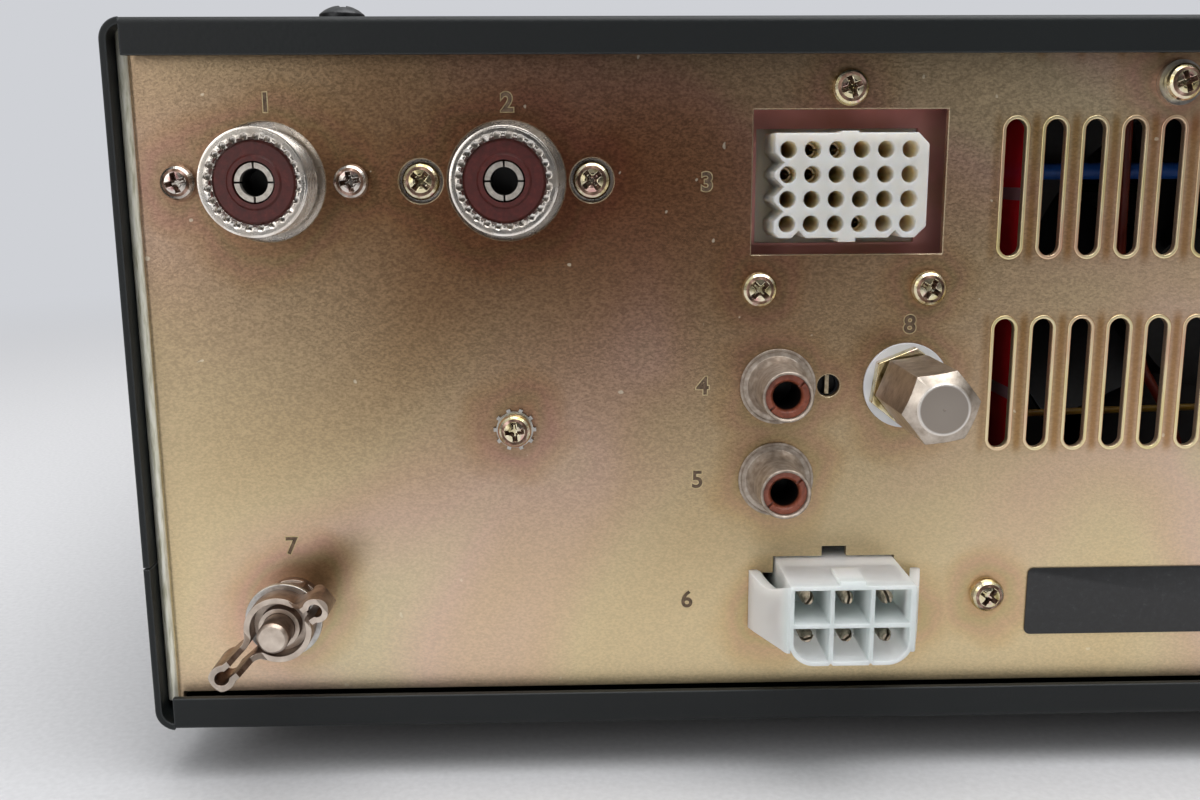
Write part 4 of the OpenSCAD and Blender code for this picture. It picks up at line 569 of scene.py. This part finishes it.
# ---- Phono jacks and trimmer ----
# Drawn nickel-plated shells riveted to the panel round a copper-brown insulator with an empty bore.
# A small preset with a screwdriver slot sits behind its hole beside the upper jack.
# plating over deep-drawn sheet is matt and brownish
drawn_finish = plain_finish("matt_nickel_drawn", {"Scale": 900.0, "Detail": 3.0},
                            [(0.3, "#8d8074"), (0.5, "#a79a8d"), (0.7, "#bdb2a6")],
                            {"Metallic": 0.75, "Roughness": 0.5})
for name in ["level_jack_shell", "send_jack_shell"]:
    finished_copy(name, drawn_finish, 0.08)
# resin-bonded paper shows its fibres, and the bore is painted near black below its mouth as shade
copper_finish, tree, surface, place = start_finish("copper_brown_phenolic")
fibre = add_node(tree, "TexNoise", {"Vector": place, "Scale": 800.0, "Detail": 4.0, "Distortion": 1.5})
tone = add_node(tree, "ValToRGB", [fibre], stops=[(0.3, "#66311f"), (0.5, "#7d402b"), (0.7, "#8c4d39")])
depth = add_node(tree, "SeparateXYZ", [place]).outputs["Y"]
inside = add_node(tree, "MapRange", [depth, (PANEL_Y + 8.5) * MM, (PANEL_Y + 7.6) * MM], **smooth)
fill_sockets(tree, surface, {
    "Base Color": add_node(tree, "Mix", {"Factor": inside, "A": tone, "B": "#0c0706"}, data_type="RGBA"),
    "Roughness": 0.4})
finished_copy("jack_insulators", copper_finish, 0.1)

# the preset's case is a plain dark moulding
preset_finish = plain_finish("dark_moulded_preset", {"Scale": 900.0}, [(0.3, "#16181c"), (0.7, "#22262c")],
                             {"Roughness": 0.5})
dress(["trimmer_body"], preset_finish)
# pale brass at the blade's top, black from 0.2 mm below it
blade_finish, tree, surface, place = start_finish("trimmer_rotor_pale_over_black")
depth = add_node(tree, "SeparateXYZ", [place]).outputs["Y"]
fine = add_node(tree, "TexNoise", {"Vector": place, "Scale": 1500.0, "Detail": 2.0})
tone = add_node(tree, "ValToRGB", [fine], stops=[(0.3, "#a8997c"), (0.7, "#d8ccb0")])
blade_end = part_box("trimmer_rotor")[1][1]
below_blade = add_node(tree, "MapRange", [depth, blade_end - 0.2 * MM, blade_end - 0.5 * MM], **smooth)
fill_sockets(tree, surface, {
    "Base Color": add_node(tree, "Mix", {"Factor": below_blade, "A": tone, "B": "#0b0a0a"}, data_type="RGBA"),
    "Metallic": 0.4, "Roughness": 0.4})
dress(["trimmer_rotor"], blade_finish)

# ---- Level control ----
# A hexagonal bar knob in nickel-plated brass on a pot's bush, with a white nylon washer and a chromated nut.
# Its end is turned down to a cone and faced; the faced end has a darker disc, a painted highlight on its rim and a
# painted shade at its centre for a dimple.
KNOB_X, KNOB_Z, KNOB_OUT = 120.6, 55.278, 19.65
CONE_HEIGHT, TURNED_LENGTH = 2.95, 60
# drawn lines run along the flats, under blotches of tarnish
bar_finish, tree, surface, place = start_finish("drawn_nickel_bar")
drawn = add_node(tree, "Mapping", {"Vector": place, "Scale": [2200.0, 120.0, 2200.0]})
lines = add_node(tree, "TexNoise", {"Vector": drawn, "Scale": 1.0, "Detail": 3.0})
blotch = add_node(tree, "TexNoise", {"Vector": place, "Scale": 420.0, "Detail": 5.0, "Roughness": 0.7})
tone = add_node(tree, "ValToRGB", [blotch], stops=[(0.3, "#94887b"), (0.5, "#b9ada0"), (0.7, "#cfc5b9")])
# the faced end: painted highlights on the corners and on a ring, a darker disc inside the ring, and painted shade at
# the centre
end_y = add_node(tree, "SeparateXYZ", [place]).outputs["Y"]
at_end = add_node(tree, "MapRange", [end_y, (PANEL_Y + 19.55) * MM, (PANEL_Y + 19.64) * MM], **smooth)
from_axis = add_node(tree, "MapRange", [distance_from(tree, place, KNOB_X, 55.28), 0.0, 6.0])
facing = add_node(tree, "ValToRGB", [from_axis], stops=[
    (0.0, "#8f857b"), (0.05, "#a69c92"), (0.56, "#a1978d"), (0.6, "#efe9e2"), (0.64, "#d8cfc5"), (1.0, "#e6ded6")])
rounded = add_node(tree, "Bevel", {"Radius": 0.0002}, samples=4)
fill_sockets(tree, surface, {
    "Base Color": add_node(tree, "Mix", {"Factor": at_end, "A": tone, "B": facing}, data_type="RGBA"),
    "Metallic": 1.0, "Roughness": 0.38,
    "Normal": add_node(tree, "Bump", {"Height": lines, "Distance": 0.00002, "Strength": 0.35, "Normal": rounded})})
bpy.ops.object.select_all(action="DESELECT")
bpy.ops.mesh.primitive_cylinder_add(vertices=96, radius=8 * MM, depth=TURNED_LENGTH * MM)
turned = bpy.context.object
bpy.ops.object.mode_set(mode="EDIT")
bpy.ops.mesh.select_mode(type="FACE")
mesh = bmesh.from_edit_mesh(turned.data)
for face in mesh.faces:
    face.select = face.normal.z > 0.99
bmesh.update_edit_mesh(turned.data)
# a cone of 35 degrees from the end face, which takes off the bar's corners
bpy.ops.mesh.inset(thickness=4.22 * MM, depth=0)
bpy.ops.transform.translate(value=(0, 0, CONE_HEIGHT * MM))
bpy.ops.mesh.extrude_region_move(TRANSFORM_OT_translate={"value": (0, 0, 1.0 * MM)})
bpy.ops.object.mode_set(mode="OBJECT")
turned.matrix_world = (Matrix.Translation(panel_point(KNOB_X, KNOB_Z, KNOB_OUT - CONE_HEIGHT - TURNED_LENGTH / 2))
                       @ Matrix.Rotation(-math.pi / 2, 4, "X"))
bpy.ops.object.transform_apply(location=True, rotation=True)
hexagon = finished_copy("level_knob", bar_finish, 0.06)
modify(hexagon, "turned_corners", "BOOLEAN", operation="INTERSECT", solver="EXACT", object=turned)
bpy.data.objects.remove(turned)
hexagon.data.materials.clear()
hexagon.data.materials.append(bar_finish)
choose([hexagon])
bpy.ops.object.shade_smooth_by_angle(angle=math.radians(25))
finished_copy("level_nut", screw_finishes[0], 0.15)
# cold bluish white, duller than the connectors
washer_finish = plain_finish("white_nylon_washer", {"Scale": 260.0}, [(0.3, "#c3c5cb"), (0.7, "#d2d3d8")],
                             {"Roughness": 0.45})
finished_copy("level_washer", washer_finish, 0.1)

# ---- Power connector ----
# A 6-way housing in the same nylon with two sprung wings that hold it in the sheet, and split round pins.
# Its mouth is open towards the plug, and its lower corners are round so that the plug fits one way only.
finished_copy("power_housing", nylon_finishes["power_housing"], 0.12)
finished_copy("power_pins", contact_finish, 0.08)

# ---- Ground terminal ----
# An M5 stud with a flat washer, a split spring washer and a wing nut pressed from one strip of steel.
# The strip's rolled ring and both wings are nickel plated.
# faces that look towards the viewer are painted bright as a highlight, and the walls between them a stained brown,
# darker as painted shade
facing_lit_nickel_finish, tree, surface, place = start_finish("nickel_with_painted_facing_light")
toward = add_node(tree, "SeparateXYZ", [add_node(tree, "NewGeometry").outputs["Normal"]]).outputs["Y"]
stain = add_node(tree, "TexNoise", {"Vector": place, "Scale": 500.0, "Detail": 4.0})
wall = add_node(tree, "ValToRGB", [stain], stops=[(0.3, "#5c483b"), (0.5, "#8a7465"), (0.7, "#a08c7e")])
lit_tone = add_node(tree, "ValToRGB", [stain], stops=[(0.3, "#b8a99b"), (0.7, "#dccfc1")])
painted_facing_light = add_node(tree, "MapRange", [toward, 0.45, 0.9], **smooth)
rounded = add_node(tree, "Bevel", {"Radius": 0.00015}, samples=4)
fill_sockets(tree, surface, {
    "Base Color": add_node(tree, "Mix", {"Factor": painted_facing_light, "A": wall, "B": lit_tone}, data_type="RGBA"),
    "Metallic": 1.0, "Roughness": 0.4,
    "Normal": add_node(tree, "Bump", {"Height": stain, "Distance": 0.00003, "Strength": 0.3, "Normal": rounded})})
for name in ["ground_stud", "wing_nut"]:
    finished_copy(name, facing_lit_nickel_finish, 0.14)
finished_copy("ground_washers", zinc_finish, 0.12)

# ---- Blank name plate ----
# A thin black anodised plate is stuck to the panel's lower right, its corners round and its face bare.
# It is a plane, rounded at its corners and given its thickness.
PLATE_X, PLATE_Z, PLATE_WIDTH, PLATE_HEIGHT = 142.2, 13.2, 62.0, 11.45
bpy.ops.object.select_all(action="DESELECT")
bpy.ops.mesh.primitive_plane_add(size=1, rotation=(math.pi / 2, 0, math.pi))
plate = bpy.context.object
plate.name = "blank_plate"
plate.scale = (PLATE_WIDTH * MM, PLATE_HEIGHT * MM, 1)
plate.location = panel_point(PLATE_X + PLATE_WIDTH / 2, PLATE_Z + PLATE_HEIGHT / 2, 0.01)
bpy.ops.object.transform_apply(location=True, rotation=True, scale=True)
bpy.ops.object.mode_set(mode="EDIT")
bpy.ops.mesh.select_all(action="SELECT")
bpy.ops.mesh.bevel(offset=1.0 * MM, segments=6, affect="VERTICES")
bpy.ops.mesh.select_all(action="SELECT")
bpy.ops.mesh.extrude_region_move(TRANSFORM_OT_translate={"value": (0, 0.3 * MM, 0)})
bpy.ops.mesh.select_all(action="SELECT")
bpy.ops.mesh.normals_make_consistent(inside=False)
bpy.ops.object.mode_set(mode="OBJECT")
modify(plate, "plate_edge", "BEVEL", width=0.08 * MM, segments=2)
bpy.ops.object.shade_smooth_by_angle(angle=math.radians(35))
# satin black with specks of dust
plate_finish = plain_finish("black_anodised_plate", {"Scale": 1300.0, "Detail": 6.0, "Roughness": 0.75},
                            [(0.45, "#121314"), (0.62, "#1d1e20"), (0.78, "#4a4a48")],
                            {"Roughness": 0.38, "Specular IOR Level": 0.6})
plate.data.materials.append(plate_finish)
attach(plate, "case")

# ---- Insulating plate and wires ----
# A glossy dark red sheet stands behind the first column of slots, with two pale bands across it.
# Blue, yellow and red insulated wires pass behind the others.
# lacquered fibre sheet: a clear red with a wet shine
sheet_finish, tree, surface, place = start_finish("glossy_red_fibre_sheet")
level = add_node(tree, "SeparateXYZ", [place]).outputs["Z"]
bands = []
for band_z in (84.8, 52.7):
    off = add_node(tree, "Math", [level, (FOOT_HEIGHT + band_z) * MM], operation="SUBTRACT")
    far = add_node(tree, "Math", [off], operation="ABSOLUTE")
    bands.append(add_node(tree, "Math", [far, 1.0 * MM], operation="LESS_THAN"))
banded = add_node(tree, "Math", bands, operation="MAXIMUM")
mottle = add_node(tree, "TexNoise", {"Vector": place, "Scale": 90.0, "Detail": 3.0})
red = add_node(tree, "ValToRGB", [mottle], stops=[(0.3, "#d01722"), (0.7, "#e82a36")])
fill_sockets(tree, surface, {
    "Base Color": add_node(tree, "Mix", {"Factor": banded, "A": red, "B": "#a87d86"}, data_type="RGBA"),
    "Roughness": 0.25, "Coat Weight": 0.5})
dress(["insulating_plate"], sheet_finish)
# extruded insulation is smooth and softly shiny
for name, low, high in [("blue_wire", "#174a9c", "#2360ba"), ("yellow_wire", "#7a5c1c", "#9b7a2a"),
                        ("red_wire", "#5c1a10", "#702416")]:
    dress([name], plain_finish("extruded_insulation_" + name, {"Scale": 240.0}, [(0.3, low), (0.7, high)],
                               {"Roughness": 0.35}))

# ---- Fan and heat sink ----
# A black glass-filled fan blows through the slots over an extruded natural aluminium heat sink.
# The extrusion's fins carry fine drawn lines along their length.
# glass fibre under the skin leaves a fine dull grain
fan_finish = plain_finish("black_glass_filled_plastic", {"Scale": 1100.0, "Detail": 3.0},
                          [(0.3, "#101113"), (0.7, "#1b1c1f")], {"Roughness": 0.48}, relief=(0.00004, 0.25))
dress(["fan_frame", "fan_rotor"], fan_finish)
# die lines 0.5 mm apart streak the bare metal
alloy_finish, tree, surface, place = start_finish("extruded_aluminium")
along = add_node(tree, "Mapping", {"Vector": place, "Scale": [1800.0, 30.0, 1800.0]})
streak = add_node(tree, "TexNoise", {"Vector": along, "Scale": 1.0, "Detail": 3.0})
tone = add_node(tree, "ValToRGB", [streak], stops=[(0.3, "#8f9092"), (0.7, "#b3b4b6")])
fill_sockets(tree, surface, {"Base Color": tone, "Metallic": 1.0, "Roughness": 0.4})
dress(["heat_sink"], alloy_finish)

# ---- Amplifier and filter boards ----
# Glass-fibre boards in green solder mask carry gold-flanged transistors, ferrite transformers, copper coils,
# blue-grey relays and phenolic switch wafers.
# glossy mask, wire enamel and mouldings, and a rough dark ferrite
for name, nodes, colours, metallic, rough, scale in [
        ("green_solder_mask", ["amplifier_board", "filter_board"], ["#23402a", "#2f5436"], 0.0, 0.35, 300.0),
        ("gold_flange_transistor", ["power_transistors"], ["#b09450", "#d1bb80"], 0.9, 0.3, 500.0),
        ("sintered_ferrite", ["ferrite_transformers"], ["#2a2a2c", "#3a3a3d"], 0.0, 0.6, 900.0),
        ("enamelled_copper_winding", ["filter_coils"], ["#8a4a22", "#b9733c"], 0.8, 0.35, 1200.0),
        ("moulded_relay_case", ["relays"], ["#4c5f7c", "#5f7594"], 0.0, 0.3, 200.0),
        ("paper_phenolic_wafer", ["switch_wafers"], ["#7d5c3a", "#93704a"], 0.0, 0.55, 700.0)]:
    dress(nodes, plain_finish(name, {"Scale": scale, "Detail": 3.0}, list(zip((0.3, 0.7), colours)),
                              {"Metallic": metallic, "Roughness": rough}, relief=(0.00005, 0.3)))

# ---- Front panel ----
# A moulded black front with a fine spark-eroded texture and a rounded rim that frames the whole face.
# Its buttons are dark grey mouldings.
# the mould's texture, 0.4 mm, takes the shine off the plastic
moulding_finish, tree, surface, place = start_finish("spark_textured_abs")
spark = add_node(tree, "TexNoise", {"Vector": place, "Scale": 2400.0, "Detail": 2.0, "Roughness": 0.6})
rounded = add_node(tree, "Bevel", {"Radius": 0.0006}, samples=4)
fill_sockets(tree, surface, {
    "Base Color": add_node(tree, "ValToRGB", [spark], stops=[(0.3, "#131416"), (0.7, "#1c1d20")]),
    "Roughness": 0.5,
    "Normal": add_node(tree, "Bump", {"Height": spark, "Distance": 0.00005, "Strength": 0.4, "Normal": rounded})})
finished_copy("front_panel", moulding_finish, 0.5, 3)
button_finish = plain_finish("satin_grey_button", {"Scale": 1800.0}, [(0.3, "#2b2d30"), (0.7, "#383a3e")],
                             {"Roughness": 0.42})
for name in ["power_button", "amp_button"]:
    finished_copy(name, button_finish, 0.5, 3)

# ---- Knobs ----
# Black phenolic knobs with a fluted grip, a flared skirt and a white pointer line let into the top.
# The line is filled with paint.
FRONT_Y, KNOB_HEIGHT = -153.6, FOOT_HEIGHT + 62
# moulded phenolic is black with a soft shine, and the paint is chalky
knob_finish = plain_finish("black_moulded_knob", {"Scale": 1500.0, "Detail": 3.0},
                           [(0.3, "#0e0f10"), (0.7, "#191a1c")], {"Roughness": 0.4})
for name in ["band_knob", "meter_knob"]:
    finished_copy(name, knob_finish, 0.15)
line_finish = plain_finish("white_line_paint", {"Scale": 1100.0}, [(0.3, "#d3d1cb"), (0.7, "#e6e4df")],
                           {"Roughness": 0.6})
for body, x, low, high, out in [("band_knob", 178, 5.3, 13.3, 16.4), ("meter_knob", 127, 3.2, 6.6, 13.4)]:
    bpy.ops.object.select_all(action="DESELECT")
    bpy.ops.mesh.primitive_cube_add(size=1)
    line = bpy.context.object
    line.scale = (1.1 * MM, 0.4 * MM, (high - low) * MM)
    line.location = ((x - CASE_WIDTH / 2) * MM, (FRONT_Y - out - 0.2) * MM, (KNOB_HEIGHT + (low + high) / 2) * MM)
    bpy.ops.object.transform_apply(location=True, rotation=True, scale=True)
    modify(line, "paint_round", "BEVEL", width=0.12 * MM, segments=3)
    line.name = body + "_line"
    line.data.materials.append(line_finish)
    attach(line, body)

# ---- Meter ----
# A moving-coil meter behind a clear moulded window: a cream scale plate with a printed arc, a red pointer.
# The arc's marks and numbers are printed in black.
# enamelled plate and pointer are matt
scale_finish = plain_finish("printed_cream_scale", {"Scale": 350.0, "Detail": 3.0},
                            [(0.3, "#e4dcc4"), (0.7, "#efe9d6")], {"Roughness": 0.6})
dress(["meter_movement"], scale_finish)
pointer_finish = plain_finish("painted_red_pointer", {"Scale": 900.0}, [(0.3, "#a3201a"), (0.7, "#bb2c22")],
                              {"Roughness": 0.4})
dress(["meter_needle"], pointer_finish)
dress(["meter_case"], fan_finish)
# clear acrylic with faint wear that blurs its reflections
window_finish, tree, surface, place = start_finish("clear_moulded_window")
wear = add_node(tree, "TexNoise", {"Vector": place, "Scale": 600.0, "Detail": 4.0})
fill_sockets(tree, surface, {
    "Base Color": "#f4f8fa", "Roughness": add_node(tree, "MapRange", [wear, 0.3, 0.7, 0.02, 0.07]),
    "Transmission Weight": 1.0, "IOR": 1.49})
finished_copy("meter_lens", window_finish, 0.3)

# the printed scale, 0.03 mm thick: eleven marks, the even numbers, and an arc of short chords from mark to mark
ink_finish = plain_finish("black_scale_ink", {"Scale": 1300.0}, [(0.3, "#161514"), (0.7, "#262422")],
                          {"Roughness": 0.6})
PIVOT_X, PIVOT_Z, ARC_RADIUS, MARK_STEP, INK_THICKNESS = -60.5, 59, 25, 9, 0.03
plate_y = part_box("meter_movement")[1][1] - 0.8 * MM
pivot = Matrix.Translation((PIVOT_X * MM, plate_y - 0.01 * MM, PIVOT_Z * MM))
half_step = math.radians(MARK_STEP / 2)
chord_length = 2 * ARC_RADIUS * math.sin(half_step) * 1.03


def printed_bar(width, height, radius, angle):
    """A flat bar of ink at a radius from the needle's pivot, turned from upright."""
    bpy.ops.object.select_all(action="DESELECT")
    bpy.ops.mesh.primitive_cube_add(size=1)
    bar = bpy.context.object
    bar.scale = (width * MM, INK_THICKNESS * MM, height * MM)
    bar.location = (0, 0, radius * MM)
    bpy.ops.object.transform_apply(location=True, rotation=True, scale=True)
    bar.matrix_world = pivot @ Matrix.Rotation(-angle, 4, "Y")
    return bar


printed = []
for step in range(11):
    angle = math.radians(45 - MARK_STEP * step)
    width, length = (0.5, 3.4) if step % 2 == 0 else (0.35, 2.2)
    printed.append(printed_bar(width, length, ARC_RADIUS + length / 2, angle))
    if step % 2 == 0:
        number = solid_figure(str(step), 3.4, INK_THICKNESS / 2, 0.06)
        number.matrix_world = (pivot @ Matrix.Rotation(-angle, 4, "Y") @ Matrix.Translation((0, 0, 31.5 * MM))
                               @ Matrix.Rotation(math.pi / 2, 4, "X"))
        printed.append(number)
    if step:
        printed.append(printed_bar(chord_length, 0.35, ARC_RADIUS * math.cos(half_step), angle + half_step))
for mark in printed:
    mark.data.materials.clear()
    mark.data.materials.append(ink_finish)
scale_print = join(printed, "meter_scale_print")
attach(scale_print, "case")

# ---- Covers ----
# Two folded steel covers meet along the sides, painted dark charcoal with a fine leatherette grain.
# Their cut edges and folds carry a thin pale line, partly wear and partly a painted highlight.
# textured stoving enamel: nearly black, with a pebbled grain of 0.7 mm that breaks up its shine
paint_finish, tree, surface, place = start_finish("charcoal_textured_enamel")
pebble = add_node(tree, "TexVoronoi", {"Vector": place, "Scale": 1500.0, "Smoothness": 0.5}, feature="SMOOTH_F1")
drift = add_node(tree, "TexNoise", {"Vector": place, "Scale": 12.0, "Detail": 4.0})
tone = add_node(tree, "ValToRGB", [drift], stops=[(0.3, "#101314"), (0.7, "#171b1c")])
# a pale line along every edge, partly wear and partly a painted highlight
rounded = add_node(tree, "Bevel", {"Radius": 0.0004}, samples=4)
flat = add_node(tree, "NewGeometry").outputs["Normal"]
likeness = add_node(tree, "VectorMath", [rounded, flat], operation="DOT_PRODUCT")
edge = add_node(tree, "MapRange", [likeness, 0.985, 0.9, 0.0, 0.35])
fill_sockets(tree, surface, {
    "Base Color": add_node(tree, "Mix", {"Factor": edge, "A": tone, "B": "#6e7274"}, data_type="RGBA"),
    "Roughness": 0.5, "Specular IOR Level": 0.3,
    "Normal": add_node(tree, "Bump", {"Height": pebble, "Distance": 0.00008, "Strength": 0.25, "Normal": rounded})})
for name in ["top_cover", "bottom_cover"]:
    finished_copy(name, paint_finish, 0.12)

# ---- Cover screws and feet ----
# Black-oxided truss-head screws hold the covers, and four moulded rubber feet are screwed under them.
# The oxide is rubbed grey in places, and the rubber is matt with a dusty bloom.
oxide_finish = plain_finish("black_oxide_screw", {"Scale": 900.0, "Detail": 5.0},
                            [(0.4, "#141517"), (0.75, "#3a3b3d")], {"Metallic": 0.5, "Roughness": 0.38})
finished_copy("cover_screws", oxide_finish, 0.12)
finished_copy("foot_screws", zinc_finish, 0.1)
rubber_finish = plain_finish("matt_moulded_rubber", {"Scale": 260.0, "Detail": 5.0},
                             [(0.35, "#0e0e0e"), (0.75, "#222222")], {"Roughness": 0.75})
finished_copy("rubber_feet", rubber_finish, 0.3)
